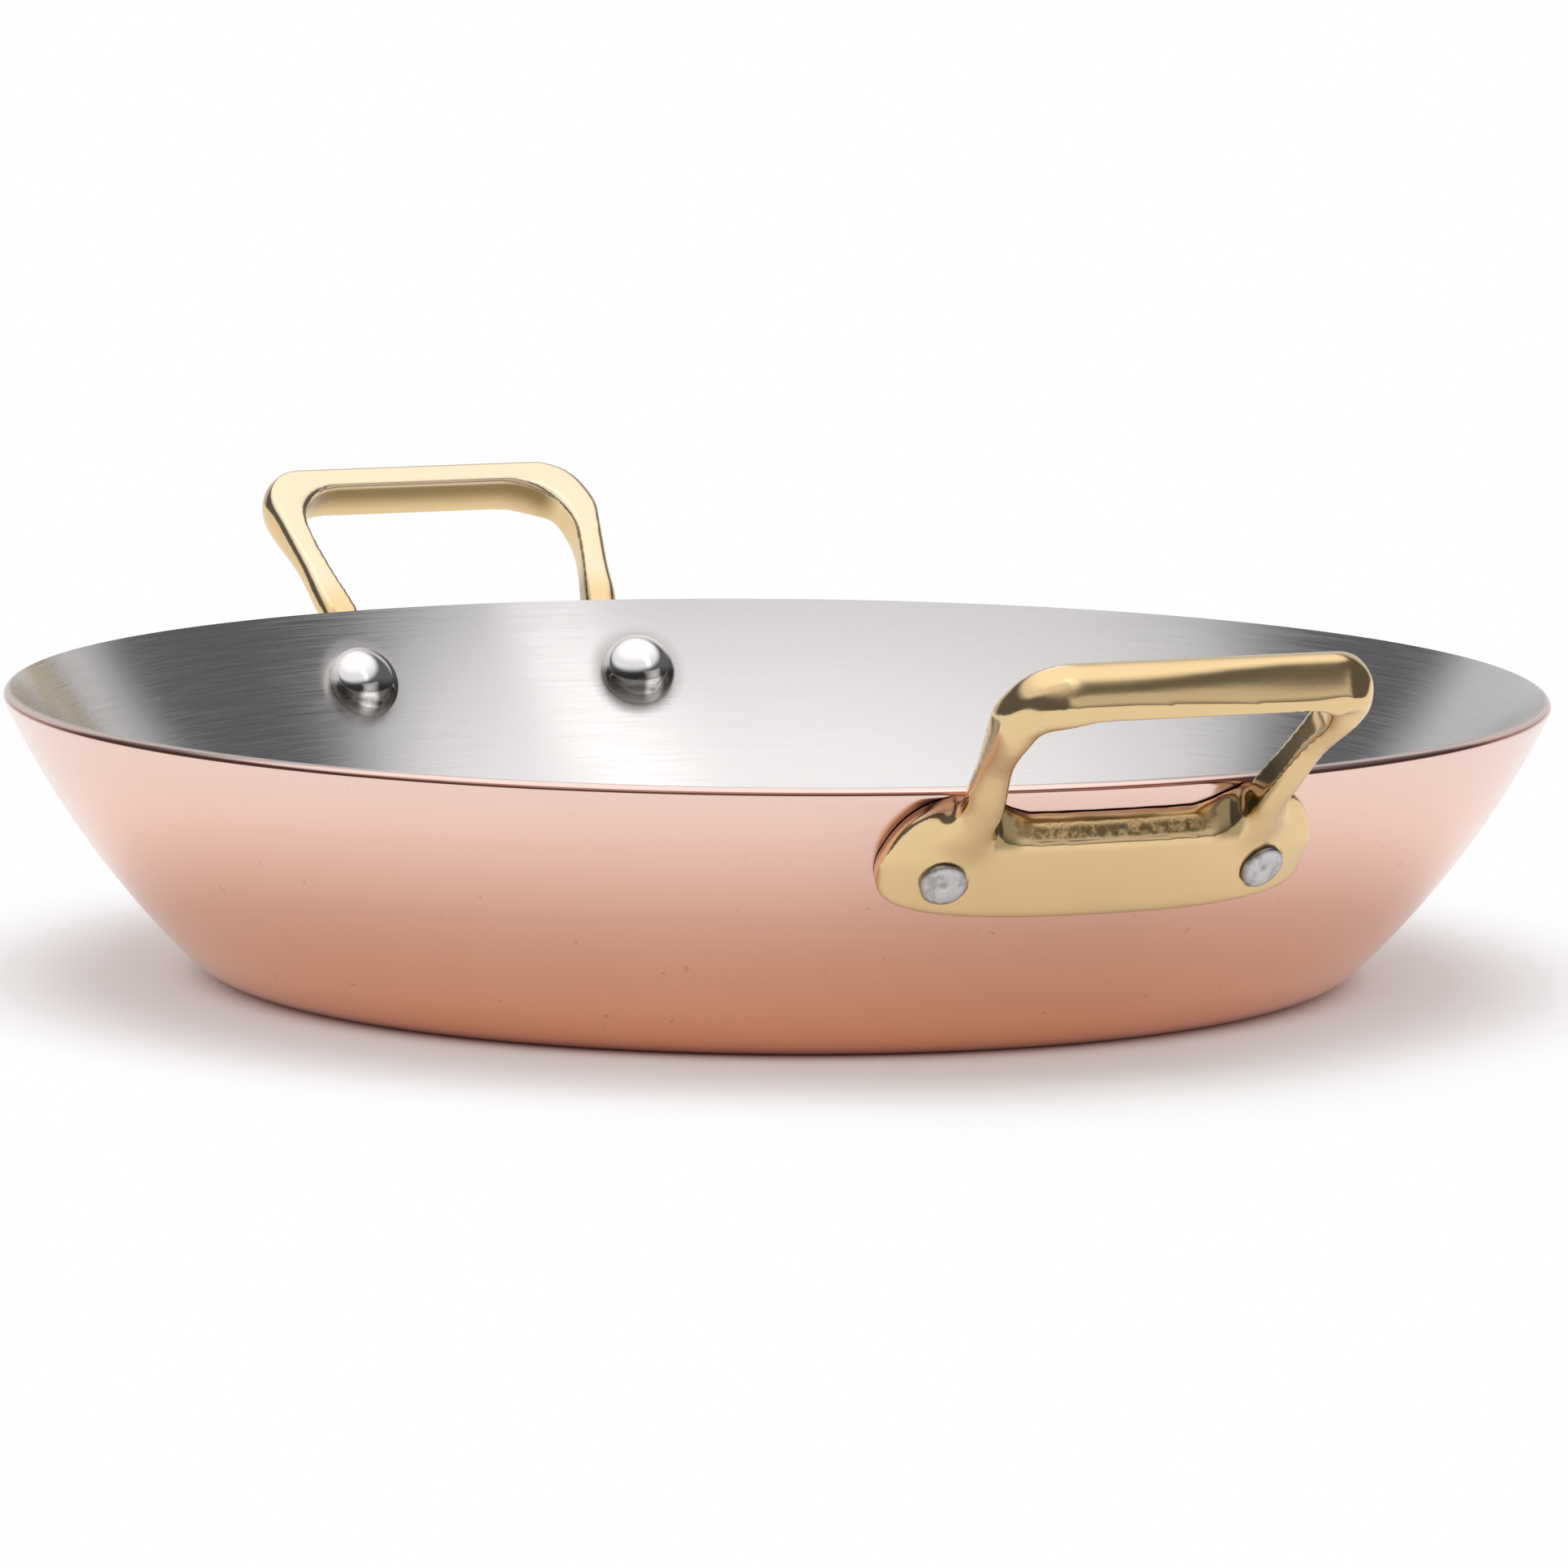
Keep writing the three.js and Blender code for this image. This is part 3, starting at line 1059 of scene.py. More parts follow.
@dataclass(frozen=True)
class PaleFloor(Finish):
    """A white floor that takes the pan's shadow and fades to plain white away from it."""

    name: str = "pale_floor"
    color: Color = (0.925, 0.93, 0.945)
    roughness: float = 0.9
    fade: Span = (0.12, 0.195)
    middle: Point = (13.0 * MM, -6.0 * MM)
    least: float = 0.28
    contact: Span = (97.0 * MM, 110.0 * MM)

    def shader(self, graph: Graph) -> Wire:
        """Return the floor shader.

        Args:
            graph: the graph that the nodes go in.

        Returns:
            The shader, matt near the pan and glowing white to the eye farther out.
        """
        x, y, _ = graph.axes(graph.object_place())
        away = graph.step(graph.length(x - self.middle[0], y - self.middle[1]), self.fade)
        open_floor = graph.step(graph.length(x, y), self.contact)
        rays = [
            graph.node("ShaderNodeLightPath", None, None, name)
            for name in ("Is Camera Ray", "Is Glossy Ray", "Is Transmission Ray")
        ]
        seen = rays[0].math("MAXIMUM", rays[0].math("MAXIMUM", rays[0], rays[1]), rays[2])
        matt = graph.node(
            "ShaderNodeBsdfPrincipled",
            None,
            {"Base Color": opaque(self.color), "Roughness": self.roughness},
        )
        glow = graph.node("ShaderNodeEmission", None, {"Color": opaque(WHITE), "Strength": 1.0})
        share = (away * (1.0 - self.least) + open_floor * self.least) * seen
        return graph.node("ShaderNodeMixShader", None, {0: share, 1: matt, 2: glow})


def dress(
    piece: bpy.types.Object, material: bpy.types.Material, slot: Slot, *nodes: str
) -> None:
    """Give a piece its material and its place in the part.

    Args:
        piece: the finished object.
        material: its material.
        slot: the record's slot that the finish belongs to; not used.
        nodes: the CAD nodes that the piece stands for.
    """
    piece.data.materials.clear()
    piece.data.materials.append(material)
    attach(piece, "root")
    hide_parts(*nodes)
    LOG.info("%s: %d faces, %s", piece.name, len(piece.data.polygons), material.name)


@dataclass
class Bowl:
    """The copper bowl and its steel lining, both turned."""

    wall: WallShape
    sides: int = 224
    corner_steps: int = 9
    wall_steps: int = 26
    rim_round: float = 1.3 * MM
    round_steps: int = 9
    sharp: float = 40.0

    def layer(self, name: str, outer: float, inner: float, edge: float) -> bpy.types.Object:
        """Turn one layer of sheet with a square-cut rim.

        Args:
            name: the piece's name.
            outer: its outer skin, as a distance outward from the copper's.
            inner: its inner skin.
            edge: rounding of the outer edge at the rim.

        Returns:
            The turned layer.
        """
        out_skin = self.wall.skin(outer, self.corner_steps, self.wall_steps)
        in_skin = self.wall.skin(inner, self.corner_steps, self.wall_steps)
        back = edge / self.wall.curve
        rim = [out_skin[-1]]
        if edge:
            rim = []
            for step in range(self.round_steps + 1):
                angle = step / self.round_steps * math.pi / 2
                lean = self.wall.flare + back * (1.0 - math.sin(angle))
                rim.append(self.wall.on_curve(lean, outer - edge * (1.0 - math.cos(angle))))
        profile = out_skin[:-1] + rim + in_skin[::-1]
        piece = Lathe.turn(name, profile, self.sides)
        Bench.smooth(piece, self.sharp)
        return piece

    def build(self, copper: bpy.types.Material, steel: bpy.types.Material) -> None:
        """Model and dress both layers.

        Args:
            copper: material of the bowl.
            steel: material of the lining.
        """
        split = -self.wall.copper
        body = self.layer("copper_bowl", 0.0, split, self.rim_round)
        dress(body, copper, Slot.COPPER, "copper_body")
        lining = self.layer("bowl_lining", split - self.wall.bond, -self.wall.thickness, 0.0)
        dress(lining, steel, Slot.LINING, "steel_lining")


@dataclass(frozen=True)
class LoopStation:
    """One section of the loop: its place in the loop's plane and the shape of its bar.

    Attributes:
        at: place across and up the plane.
        swing: turn of the section's outer side in the plane.
        width: width of the flat inner face.
        depth: from the flat face to the front.
        belly: share of the depth at which the bar is widest.
        fullness: how square the inner side of the front is.
        fill: metal added on the inner side, for a round inner corner.
        facet: how far the outer edge of the front is flattened.
        chin: how far the front is flattened toward the inner side.
        back: metal added behind the flat face.
        slope: how far the outer half of a square front is turned back.
    """

    at: Point
    swing: float
    width: float
    depth: float
    belly: float
    fullness: float = 1.0
    fill: float = 0.0
    facet: float = 0.0
    chin: float = 0.0
    back: float = 0.0
    slope: float = 0.0

    def mirrored(self) -> "LoopStation":
        """Return the same section on the other arm."""
        return replace(self, at=(-self.at[0], self.at[1]), swing=math.pi - self.swing)


@dataclass(frozen=True)
class GripEnd:
    """One end of the grip: its distance from the middle and the rounding of its corner."""

    length: float
    corner: float
    sweep: float


@dataclass(frozen=True)
class Softening:
    """How a casting is softened: a little all over, and more where the arms meet the plate."""

    plane: LoopPlane = LoopPlane()
    voxel: float = 0.45 * MM
    blend_rise: float = -8.0 * MM
    blend_height: float = 10.0 * MM
    blend_side: float = 31.0 * MM
    blend_ramp: Span = (7.0 * MM, 4.0 * MM)
    blend_edge: float = 26.6 * MM
    blend_lean: float = 0.9
    edge_fade: float = 4.0 * MM
    proud_ramp: Span = (2.5 * MM, 2.0 * MM)
    foot_rise: float = -3.0 * MM
    foot_size: float = 8.0 * MM
    under_rise: float = 28.0 * MM
    under_height: float = 5.0 * MM
    smooth_factor: float = 0.5
    smooth_turns: int = 12
    blend_turns: tuple[tuple[str, int], ...] = (("roots", 160), ("feet", 80), ("under", 30))

    def shares(self, place: Vector) -> dict[str, float]:
        """Return how much a place of the casting is smoothed in each of three ways.

        Args:
            place: the place on the casting.

        Returns:
            The shares at the roots of the arms, at their feet and under the grip.
        """
        rise = self.plane.across(place.x, place.z)[1]
        side = abs(place.y)
        proud = ramp(self.plane.wall.gap(place), *self.proud_ramp)
        inside = clamp((self.blend_edge - rise * self.blend_lean - side) / self.edge_fade)
        near = 1.0 - ramp(abs(rise - self.blend_rise), 0.0, self.blend_height)
        near *= 1.0 - ramp(abs(side - self.blend_side), *self.blend_ramp)
        foot = math.hypot(side - self.blend_side, rise - self.foot_rise)
        return {
            "roots": near * max(inside, proud),
            "feet": proud * (1.0 - ramp(foot, 0.0, self.foot_size)),
            "under": 1.0 - ramp(abs(rise - self.under_rise), 0.0, self.under_height),
        }

    def soften(self, piece: bpy.types.Object) -> None:
        """Blend the arms into the plate, more than the rest of the casting.

        Args:
            piece: the joined handle.
        """
        Bench.apply(piece, "REMESH", mode="VOXEL", voxel_size=self.voxel)
        groups = {name: piece.vertex_groups.new(name=name) for name, _ in self.blend_turns}
        for vert in piece.data.vertices:
            for name, share in self.shares(vert.co).items():
                groups[name].add([vert.index], ease(share), "REPLACE")
        Bench.apply(piece, "SMOOTH", factor=self.smooth_factor, iterations=self.smooth_turns)
        for name, turns in self.blend_turns:
            Bench.apply(
                piece, "SMOOTH", factor=self.smooth_factor, iterations=turns, vertex_group=name
            )
        piece.vertex_groups.clear()


@dataclass
class LoopHandle:
    """A cast handle: an oval plate on the wall and a leaning loop above it."""

    wall: WallShape
    plane: LoopPlane = LoopPlane()
    softening: Softening = Softening()
    plate_length: float = 80.6 * MM
    plate_above: float = 15.6 * MM
    plate_dip: float = 5.0 * MM
    plate_below: float = 9.8 * MM
    plate_thickness: float = 5.0 * MM
    plate_roll: float = 3.2 * MM
    roll_steps: tuple[float, ...] = (0.13, 0.39, 0.65, 0.9)
    tip_slope: float = math.radians(12.0)
    tip_level: float = 4.5 * MM
    plate_swell: float = 1.75
    edge_swell: float = 4.0
    plate_power: float = 3.0
    plate_sweep: float = math.radians(87.0)
    plate_steps: int = 20
    shoulder: Span = (0.56, 0.12)
    edge_share: float = 0.3
    dip_ramp: Span = (14.0 * MM, 13.0 * MM)
    top_power: float = 6.5
    tip_thickness: float = 1.6 * MM
    plate_back: float = 1.2 * MM
    reach: float = 35.0 * MM
    square_end: GripEnd = GripEnd(35.2 * MM, 5.2 * MM, 6.0 * MM)
    round_end: GripEnd = GripEnd(34.2 * MM, 8.4 * MM, 6.0 * MM)
    grip_height: float = 4.5 * MM
    grip_depth: float = 10.4 * MM
    arm_foot_width: float = 5.7 * MM
    arm_width: float = 4.5 * MM
    arm_depth: float = 5.8 * MM
    bar_belly: float = 0.41
    grip_fullness: float = 1.5
    corner_depth: float = 8.4 * MM
    grip_facet: float = 1.6 * MM
    facet_gain: float = 1.4
    facet_turn: float = math.radians(34.0)
    facet_turn_end: float = math.radians(29.2)
    grip_chin: float = 1.2 * MM
    chin_turn: float = math.radians(70.0)
    facet_keep: float = 0.34
    facet_keep_end: float = 0.12
    root_depth: float = 16.5 * MM
    root_flare: float = 8.0 * MM
    root_web: float = 4.0 * MM
    web_top: float = -3.0 * MM
    web_height: float = 7.0 * MM
    root_thickness: float = 5.2 * MM
    root_back: float = 4.0 * MM
    root_slope: float = math.radians(38.0)
    root_swell: float = 2.5
    belly_rate: float = 1.6
    back_rate: float = 3.0
    slope_rate: float = 5.0
    slope_loss: float = 0.5
    arm_taper: float = 2.0
    arm_wait: float = 0.8
    root_steps: int = 10
    arm_steps: int = 10
    corner_steps: int = 12
    grip_steps: int = 16
    fill_edge: float = 0.35
    twist_start: float = 0.42
    cutter_steps: tuple[int, int] = (6, 24)
    cutter_sides: int = 360
    seat_sides: int = 48
    seat_run: float = 4.0
    seat_gap: float = 0.3 * MM
    spot_radius: float = 4.5 * MM
    spot_sink: float = 0.45 * MM
    ring_sides: int = 96
    sharp: float = 45.0

    def plate(self) -> bpy.types.Object:
        """Loft the plate from sections that stand across it.

        Returns:
            The plate, with its back sunk in the wall.
        """
        radius, height = self.wall.on_curve(self.wall.rivet_lean, 0.0)
        bar = Loft("plate", self.ring_sides)
        for step in range(-self.plate_steps, self.plate_steps + 1):
            angle = step / self.plate_steps * self.plate_sweep
            tall = math.cos(angle) ** (2.0 / self.plate_power)
            along = math.copysign(abs(math.sin(angle)) ** (2.0 / self.plate_power), angle)
            half = tall * self.plate_below
            between = 1.0 - ease(ramp(abs(along), *self.shoulder))
            thick = lerp(self.plate_thickness, self.tip_thickness, (1.0 - tall) ** 2)
            top = self.plate_top(along) + thick * math.sin(self.tip_slope) * (1.0 - between) * tall
            bar.ring(half, math.pi / 2)
            Bench.scale(thick * self.plate_swell / half, 1.0, 1.0)
            bar.pick(lambda co: co.z > 0.0)
            Bench.scale(1.0, 1.0, top / half)
            bar.pick(lambda co: co.z > top * self.edge_share)
            Bench.scale(self.edge_swell / self.plate_swell, 1.0, 1.0)
            bar.pick(lambda co: co.x > thick)
            Bench.scale(0.0, 1.0, 1.0, (thick, 0.0, 0.0))
            drop = (self.plate_roll + top - self.plate_top(0.0)) * between
            for depth in self.roll_steps:
                bar.pick(lambda co: co.x > thick * depth and co.z > top * self.edge_share)
                Bench.move(0.0, 0.0, -drop / len(self.roll_steps))
            bar.pick(lambda co: co.z > self.tip_level)
            Bench.move(-thick, 0.0, -self.tip_level)
            Bench.rotate(-self.tip_slope * (1.0 - between), "Y")
            Bench.move(thick, 0.0, self.tip_level)
            bar.pick(lambda co: co.x < -TINY)
            Bench.scale(0.0, 1.0, 1.0, (-self.plate_back, 0.0, 0.0))
            bar.pick()
            Bench.rotate(self.wall.rivet_lean, "Y")
            Bench.move(radius, 0.0, height)
            Bench.rotate(along * self.plate_length / 2 / radius, "Z")
            bar.bridge()
        return bar.finish()

    def plate_top(self, along: float) -> float:
        """Return the height of the plate's upper edge above the rivets.

        Args:
            along: place along the plate, from -1 to 1.

        Returns:
            The height: lowest between the arms, highest at them, falling to the ends.
        """
        side = abs(along) * self.plate_length / 2
        dip = self.plate_dip * (1.0 - ease(ramp(side, *self.dip_ramp)))
        fall = (1.0 - abs(along) ** self.top_power) ** (2.0 / self.plate_power)
        return self.plate_above * fall - dip

    def half_loop(self, end: GripEnd) -> list[LoopStation]:
        """Return the sections of half the loop.

        Args:
            end: the end of the grip on this half.

        Returns:
            The sections from the root of the arm to the middle of the grip.
        """
        line = self.reach - self.grip_height / 2
        rim = Vector((self.plane.arm_spread / 2, 0.0))
        corner = Vector((end.length - self.arm_width / 2, line))
        up = (corner - rim).normalized()
        turn = math.pi / 2 + math.atan2(up.x, up.y)
        lean = -math.atan2(up.x, up.y)
        arm_end = corner - up * end.corner * math.tan(turn / 2)
        centre = arm_end - Vector((math.cos(lean), math.sin(lean))) * end.corner
        length = (arm_end - rim).length
        half = []
        for step in range(self.root_steps, 0, -1):
            share = step / self.root_steps
            rise = -self.root_depth * share
            flare = self.root_flare * math.sin(math.pi / 2 * share)
            outer = (self.plane.arm_spread + self.arm_foot_width) / 2 + flare
            inner = (self.plane.arm_spread - self.arm_foot_width) / 2 - self.web(rise)
            half.append(LoopStation(
                ((outer + inner) / 2, rise), 0.0, outer - inner,
                lerp(self.arm_depth, self.root_thickness, share),
                self.bar_belly * (1.0 - ease(clamp(share * self.belly_rate))),
                back=self.root_back * ease(clamp(share * self.back_rate)),
                slope=(
                    self.root_slope * ease(clamp(share * self.slope_rate))
                    * (1.0 - self.slope_loss * share)
                ),
            ))
        for step in range(self.arm_steps):
            share = step / self.arm_steps
            late = share * (1.0 + self.arm_wait) - self.arm_wait
            half.append(LoopStation(
                tuple(rim.lerp(arm_end, share)), lean * ease(share),
                lerp(self.arm_foot_width, self.arm_width, ease(clamp(share * self.arm_taper))),
                lerp(self.arm_depth, self.corner_depth, ease(clamp(late))),
                self.bar_belly,
                fill=self.sweep(end, turn, length * (1.0 - share)) + self.web(length * share),
            ))
        for step in range(self.corner_steps + 1):
            share = step / self.corner_steps
            swing = lean + turn * share
            place = centre + Vector((math.cos(swing), math.sin(swing))) * end.corner
            half.append(LoopStation(
                tuple(place), swing,
                lerp(self.arm_width, self.grip_height, share),
                lerp(self.corner_depth, self.grip_depth, ease(share)),
                self.bar_belly,
                lerp(1.0, self.grip_fullness, share),
                self.sweep(end, turn, 0.0, turn * (share - 0.5)),
                self.grip_facet * ease(share),
                self.grip_chin * ease(share),
            ))
        start = half[-1].at[0]
        for step in range(1, self.grip_steps + 1):
            share = step / self.grip_steps
            half.append(LoopStation(
                (lerp(start, 0.0, share), line), math.pi / 2,
                self.grip_height, self.grip_depth, self.bar_belly, self.grip_fullness,
                self.sweep(end, turn, start * share), self.grip_facet, self.grip_chin,
            ))
        return half

    def web(self, rise: float) -> float:
        """Return the metal inside an arm's foot at a height above the rim."""
        return self.root_web * clamp((self.web_top - rise) / self.web_height) ** 2

    def sweep(self, end: GripEnd, turn: float, away: float, swing: float = 0.0) -> float:
        """Return the metal that rounds an inner corner with a wider sweep.

        Args:
            end: the end of the grip that the corner is at.
            turn: the whole turn of the corner.
            away: distance from the corner along the arm or the grip, or 0 within it.
            swing: turn from the middle of the corner, for a section within it.

        Returns:
            How far the inner side is moved inward.
        """
        tight = end.corner - self.grip_height / 2
        wide = tight + end.sweep
        if away:
            left = max(0.0, end.sweep * math.tan(turn / 2) - away)
            return wide - math.sqrt(wide ** 2 - left ** 2)
        shift = end.sweep / math.cos(turn / 2)
        reach = math.sqrt(wide ** 2 - (shift * math.sin(swing)) ** 2)
        return tight - (reach - shift * math.cos(swing))

    def section(self, bar: Loft, station: LoopStation) -> None:
        """Draw one section of the loop flat: depth along X, outer side along Y.

        Args:
            bar: the bar that the section is added to.
            station: the section's shape.
        """
        middle = station.depth * station.belly
        reach = station.depth - middle
        tall = station.width / 2 / math.sqrt(1.0 - (middle / reach) ** 2)
        inner = station.width / 2 + station.fill
        edge = station.width / 2 + station.fill * self.fill_edge
        bar.ring(tall)
        Bench.scale(reach / tall, 1.0, 1.0)
        if station.slope:
            Bench.scale(lerp(1.0, self.root_swell, station.slope / self.root_slope), 1.0, 1.0)
            bar.pick(lambda co: co.x > reach)
            Bench.scale(0.0, 1.0, 1.0, (reach, 0.0, 0.0))
            bar.pick(lambda co: co.y > 0.0)
            Bench.move(-reach, 0.0, 0.0)
            Bench.rotate(station.slope, "Z")
            Bench.move(reach, 0.0, 0.0)
        twist = ease(clamp(self.twist_start + station.at[0] / self.square_end.length))
        facet_turn = lerp(self.facet_turn, self.facet_turn_end, twist)
        facet_cut = station.facet * lerp(1.0, self.facet_gain, twist)
        facet_keep = lerp(self.facet_keep, self.facet_keep_end, twist)
        for turn, cut in ((facet_turn, facet_cut), (self.chin_turn, station.chin)):
            if not cut:
                continue
            limit = math.hypot(tall * math.cos(turn), reach * math.sin(turn)) - cut
            bar.pick()
            Bench.rotate(turn, "Z")
            bar.pick(lambda co: co.y > limit)
            Bench.scale(1.0, facet_keep, 1.0, (0.0, limit, 0.0))
            bar.pick()
            Bench.rotate(-turn, "Z")
        bar.pick(lambda co: co.y < 0.0)
        Bench.scale(1.0, station.fullness + station.fill / tall, 1.0)
        bar.pick(lambda co: co.y < -inner)
        Bench.scale(1.0, 0.0, 1.0, (0.0, -inner, 0.0))
        bar.pick(lambda co: co.x < -middle - TINY)
        Bench.scale(0.0, 1.0, 1.0, (-middle - station.back, 0.0, 0.0))
        if station.fill:
            bar.pick(lambda co: co.x < -middle + TINY and co.y < -edge)
            Bench.scale(1.0, 0.0, 1.0, (0.0, -edge, 0.0))
        bar.pick()
        Bench.move(middle, 0.0, 0.0)

    def loop(self) -> bpy.types.Object:
        """Loft the loop in its own plane and lean it over the rim.

        Returns:
            The loop in its place.
        """
        bar = Loft("loop", self.ring_sides)
        halves = [self.half_loop(end) for end in (self.square_end, self.round_end)]
        mirrored = [station.mirrored() for station in halves[1]]
        for station in halves[0] + mirrored[-2::-1]:
            self.section(bar, station)
            Bench.rotate(station.swing, "X")
            Bench.move(0.0, *station.at)
            bar.bridge()
        piece = bar.finish()
        Bench.edit(piece)
        bpy.ops.mesh.select_all(action="SELECT")
        Bench.rotate(self.plane.lean, "Y")
        Bench.move(self.plane.stand, 0.0, self.wall.rim_z)
        Bench.clear()
        return piece

    def cut(self, piece: bpy.types.Object) -> None:
        """Cut the back to the wall and sink a round seat for each rivet.

        Args:
            piece: the softened handle.
        """
        skin = self.wall.skin(self.seat_gap, *self.cutter_steps)
        cutters = [
            Lathe.turn("wall_cutter", skin + [(0.0, self.wall.height)], self.cutter_sides)
        ]
        level = self.plate_thickness - self.spot_sink
        top = self.seat_run * level
        profile = [(0.0, level), (self.spot_radius, level), (self.spot_radius, top), (0.0, top)]
        for sign in (-1.0, 1.0):
            drill = Lathe.turn("seat_cutter", profile, self.seat_sides)
            Bench.settle(drill, self.wall.rivet_place(sign, Side.RIGHT.value))
            cutters.append(drill)
        for cutter in cutters:
            Bench.apply(piece, "BOOLEAN", operation="DIFFERENCE", solver="EXACT", object=cutter)
            Bench.discard(cutter)

    def build(self, brass: bpy.types.Material) -> None:
        """Model one handle, copy it to the other end, and dress both.

        Args:
            brass: the material of the castings.
        """
        right = Bench.join([self.plate(), self.loop()])
        Bench.name(right, "loop_handle_right")
        self.softening.soften(right)
        self.cut(right)
        Bench.smooth(right, self.sharp)
        turn = Matrix.Rotation(Side.LEFT.value, 4, "Z")
        left = Bench.copy(right, "loop_handle_left", turn)
        dress(right, brass, Slot.BRASS, "handle_right")
        dress(left, brass, Slot.BRASS, "handle_left")


@dataclass
class Rivet:
    """A turned rivet: a round dome inside the bowl and a dimpled tail outside the plate."""

    wall: WallShape
    plate_thickness: float = 5.0 * MM
    seat_sink: float = 0.45 * MM
    head_radius: float = 7.1 * MM
    head_edge: float = 0.45 * MM
    head_dome: float = 5.1 * MM
    head_gap: float = 0.1 * MM
    head_tuck: float = 0.985
    shank_radius: float = 3.2 * MM
    tail_radius: float = 4.1 * MM
    tail_end: float = 5.9 * MM
    tail_chamfer: float = 0.45 * MM
    dimple_radius: float = 1.0 * MM
    dimple_depth: float = 0.3 * MM
    chamfer_path: tuple[Point, ...] = ((0.0, 1.0), (0.4, 0.35), (1.3, 0.0))
    dimple_path: tuple[Point, ...] = ((1.15, 0.0), (0.85, 0.3), (0.4, 0.85), (0.0, 1.0))
    sides: int = 64
    dome_steps: int = 20
    sharp: float = 50.0

    def profile(self) -> list[Point]:
        """Return the rivet's profile, whose outward way is the height.

        Returns:
            Radius and height of each point, from the top of the dome to the dimple.
        """
        seat = -self.wall.thickness - self.head_gap
        points = []
        for step in range(self.dome_steps + 1):
            angle = step / self.dome_steps * math.pi / 2
            rise = self.head_edge + self.head_dome * math.cos(angle)
            points.append((self.head_radius * math.sin(angle), seat - rise))
        tail = self.plate_thickness - self.seat_sink
        points += [
            (self.head_radius * self.head_tuck, seat),
            (self.shank_radius, seat),
            (self.shank_radius, tail),
            (self.tail_radius, tail),
        ]
        for inward, down in self.chamfer_path:
            points.append((
                self.tail_radius - self.tail_chamfer * inward,
                self.tail_end - self.tail_chamfer * down,
            ))
        for reach, down in self.dimple_path:
            points.append((self.dimple_radius * reach, self.tail_end - self.dimple_depth * down))
        return points

    def build(self, steel: bpy.types.Material) -> None:
        """Model one rivet, set a copy in each of the four holes, and dress them.

        Args:
            steel: the material of the rivets.
        """
        pattern = Lathe.turn("rivet_pattern", self.profile(), self.sides)
        Bench.smooth(pattern, self.sharp)
        for end, side_name in ((Side.RIGHT, "right"), (Side.LEFT, "left")):
            for sign, place_name in ((-1.0, "front"), (1.0, "back")):
                node = f"rivet_{side_name}_{place_name}"
                place = self.wall.rivet_place(sign, end.value)
                piece = Bench.copy(pattern, node + "_turned", place)
                dress(piece, steel, Slot.RIVET, node)
        Bench.discard(pattern)


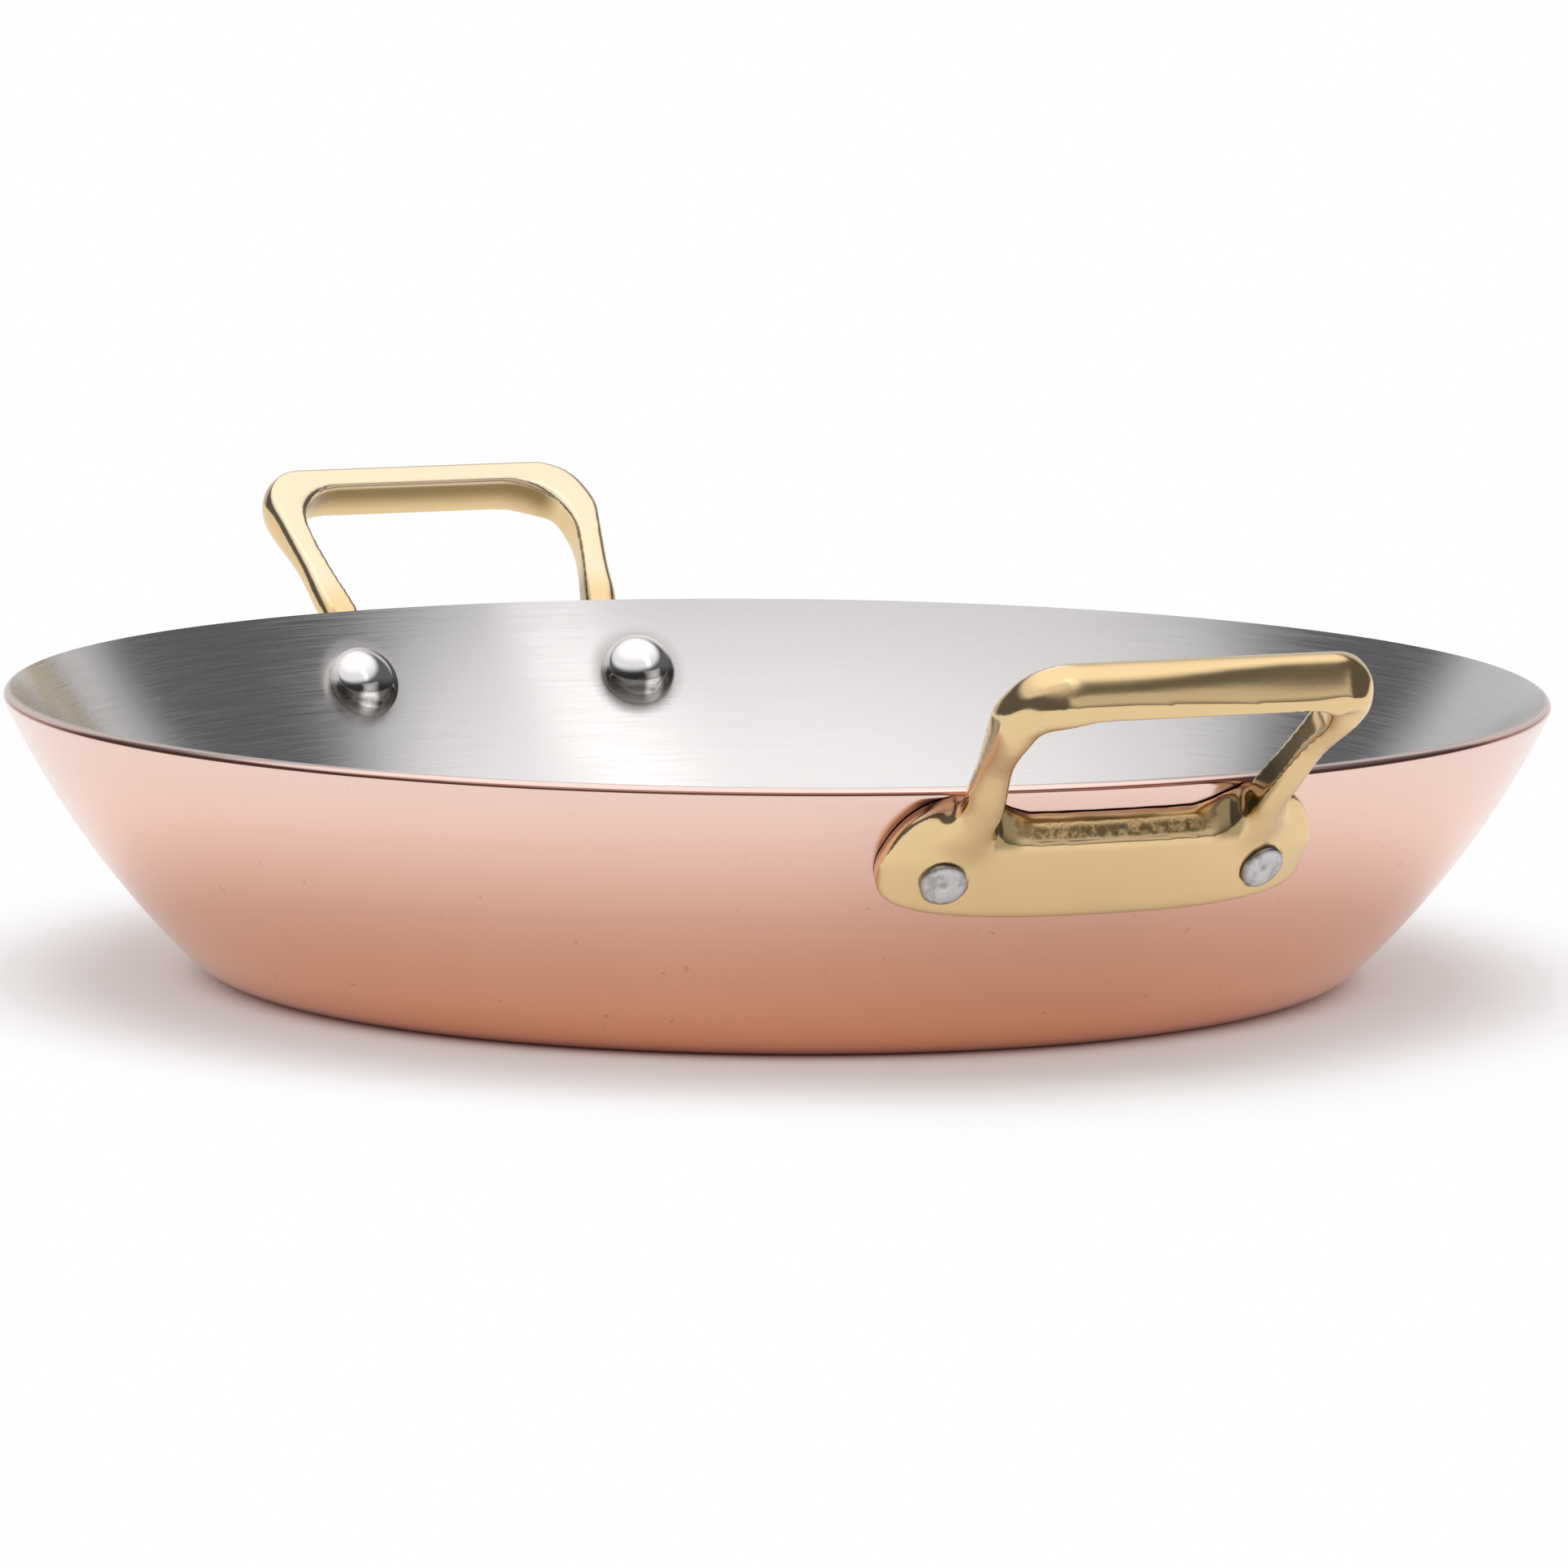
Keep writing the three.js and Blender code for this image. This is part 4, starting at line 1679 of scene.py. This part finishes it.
@dataclass
class Studio:
    """Camera, pale floor and soft light round the pan."""

    stand_off: float = 1884.1 * MM
    eye_height: float = 284.4 * MM
    turn: float = math.radians(65.515)
    pitch: float = math.radians(7.571)
    yaw: float = math.radians(0.041)
    roll: float = math.radians(0.505)
    focal: float = 12938.2
    image_width: float = 1932.0
    sensor: float = 36.0
    sight: float = 100.0
    floor_size: float = 16.0
    floor_cuts: int = 7
    floor_drop: float = 0.05 * MM
    room: Color = (0.13, 0.13, 0.14)
    softbox: float = 1.0
    strip: float = 0.40
    strip_turn: float = math.radians(43.0)
    softbox_axis: Vector = field(default_factory=lambda: Vector((-0.075, -0.226, 1.0)))
    softbox_inner: float = math.radians(44.0)
    softbox_outer: float = math.radians(59.0)
    crown_span: Span = (0.68, 0.92)
    crown_gain: float = 0.35
    crown_least: float = 0.80
    strip_span: Span = (0.15, 0.07)
    band_front: Span = (0.15, 0.35)
    backdrop: float = 0.55
    backdrop_rise: float = 0.08
    backdrop_span: Span = (0.56, 0.77)
    card: float = 0.58
    card_turn: float = math.radians(48.0)
    card_rise: float = math.radians(20.0)
    card_span: Span = (0.42, 0.25)
    card_foot: Span = (-0.38, -0.04)
    card_top: Span = (0.10, 0.04)
    lamp_power: float = 9.0
    lamp_size: float = 1.2
    lamp_place: Vector = field(default_factory=lambda: Vector((0.0, 0.0, 1.6)))

    def spun(self, vector: Vector) -> Vector:
        """Return a direction of the camera's plan turned into the pan's frame."""
        return Matrix.Rotation(self.turn, 3, "Z") @ vector

    def camera(self) -> None:
        """Stand the camera where it sees the pan as wanted."""
        ahead = Vector((
            math.sin(self.yaw) * math.cos(self.pitch),
            math.cos(self.yaw) * math.cos(self.pitch),
            -math.sin(self.pitch),
        ))
        level = Vector((math.cos(self.yaw), -math.sin(self.yaw), 0.0))
        upright = level.cross(ahead)
        right = level * math.cos(self.roll) + upright * math.sin(self.roll)
        above = upright * math.cos(self.roll) - level * math.sin(self.roll)
        columns = [self.spun(right), self.spun(above), self.spun(-ahead)]
        place = self.spun(Vector((0.0, -self.stand_off, self.eye_height)))
        lens = bpy.data.cameras.new("camera")
        lens.sensor_width = self.sensor
        lens.lens = self.focal / self.image_width * self.sensor
        lens.clip_end = self.sight
        made = bpy.data.objects.new("camera", lens)
        bpy.context.collection.objects.link(made)
        made.matrix_world = (
            Matrix.Translation(place) @ Matrix(columns).transposed().to_4x4()
        )
        bpy.context.scene.camera = made

    def floor(self, material: bpy.types.Material) -> None:
        """Lay the floor under the pan.

        Args:
            material: the floor's material.
        """
        Bench.clear()
        bpy.ops.mesh.primitive_plane_add(size=self.floor_size)
        ground = bpy.context.object
        ground.name = "floor"
        bpy.ops.object.mode_set(mode="EDIT")
        bpy.ops.mesh.subdivide(number_cuts=self.floor_cuts)
        Bench.move(0.0, 0.0, -self.floor_drop)
        Bench.clear()
        ground.data.materials.append(material)

    def light(self) -> None:
        """Light the room: a big soft source overhead on the left and a pale backdrop behind."""
        world = bpy.data.worlds.new("studio")
        bpy.context.scene.world = world
        world.use_nodes = True
        graph = Graph(world.node_tree)
        way = graph.node("ShaderNodeTexCoord", None, None, "Generated")
        overhead = self.spun(self.softbox_axis.normalized())
        away = self.spun(Vector((0.0, 1.0, self.backdrop_rise)))

        def toward(direction: Vector) -> Wire:
            """Return the share of the view direction that points one way."""
            return graph.node(
                "ShaderNodeVectorMath", {"operation": "DOT_PRODUCT"}, {0: way, 1: direction}, 1
            )

        def upright(turn: float, span: Span) -> Wire:
            """Return an upright band in front of the pan.

            Args:
                turn: how far it is turned to the right.
                span: where the band ends and where it is full, to each side.

            Returns:
                The band, from 0 to 1.
            """
            across = self.spun(Vector((math.cos(turn), math.sin(turn), 0.0)))
            ahead = self.spun(Vector((math.sin(turn), -math.cos(turn), 0.0)))
            return graph.mask((abs(toward(across)), span), (toward(ahead), self.band_front))

        box = graph.step(
            toward(overhead), (math.cos(self.softbox_outer), math.cos(self.softbox_inner))
        )
        crown = graph.step(toward(UP), self.crown_span) * self.crown_gain + self.crown_least
        strip = upright(self.strip_turn, self.strip_span)
        behind = graph.step(toward(away), self.backdrop_span)
        level = toward(UP) - math.sin(self.card_rise)
        card = upright(self.card_turn, self.card_span)
        card = card * graph.mask((level, self.card_foot), (level, self.card_top))
        strength = (
            box * (crown * self.softbox + strip * self.strip)
            + behind * self.backdrop
            + card * self.card
        )
        soft, room = (
            graph.node("ShaderNodeBackground", None, {"Color": opaque(color), "Strength": power})
            for color, power in ((WHITE, strength), (self.room, 1.0))
        )
        both = graph.node("ShaderNodeAddShader", None, {0: soft, 1: room})
        graph.node("ShaderNodeOutputWorld", None, {"Surface": both})
        bpy.context.scene.view_settings.view_transform = "Standard"

    def floor_lamp(self) -> None:
        """Hang a soft lamp over the pan that brightens the floor and leaves no glint in metal."""
        lamp = bpy.data.lights.new("floor_lamp", "AREA")
        lamp.energy = self.lamp_power
        lamp.size = self.lamp_size
        made = bpy.data.objects.new("floor_lamp", lamp)
        bpy.context.collection.objects.link(made)
        made.location = self.spun(self.lamp_place)
        made.rotation_euler = made.location.to_track_quat("Z", "Y").to_euler()
        made.visible_glossy = False

    def build(self, floor_material: bpy.types.Material) -> None:
        """Set up camera, floor and light.

        Args:
            floor_material: the floor's material.
        """
        self.camera()
        self.floor(floor_material)
        self.light()
        self.floor_lamp()
        LOG.info("studio: camera, floor and light are set")


def main() -> None:
    """Build the pan and its studio, piece by piece."""
    logging.basicConfig(level=logging.INFO, format="%(name)s: %(message)s")
    wall = WallShape()
    Studio().build(PaleFloor().material())
    Bowl(wall).build(PolishedCopper().material(), BrushedSteel().material())
    LoopHandle(wall).build(CastBrass().material())
    Rivet(wall).build(RivetSteel().material())


if __name__ == "__main__":
    main()
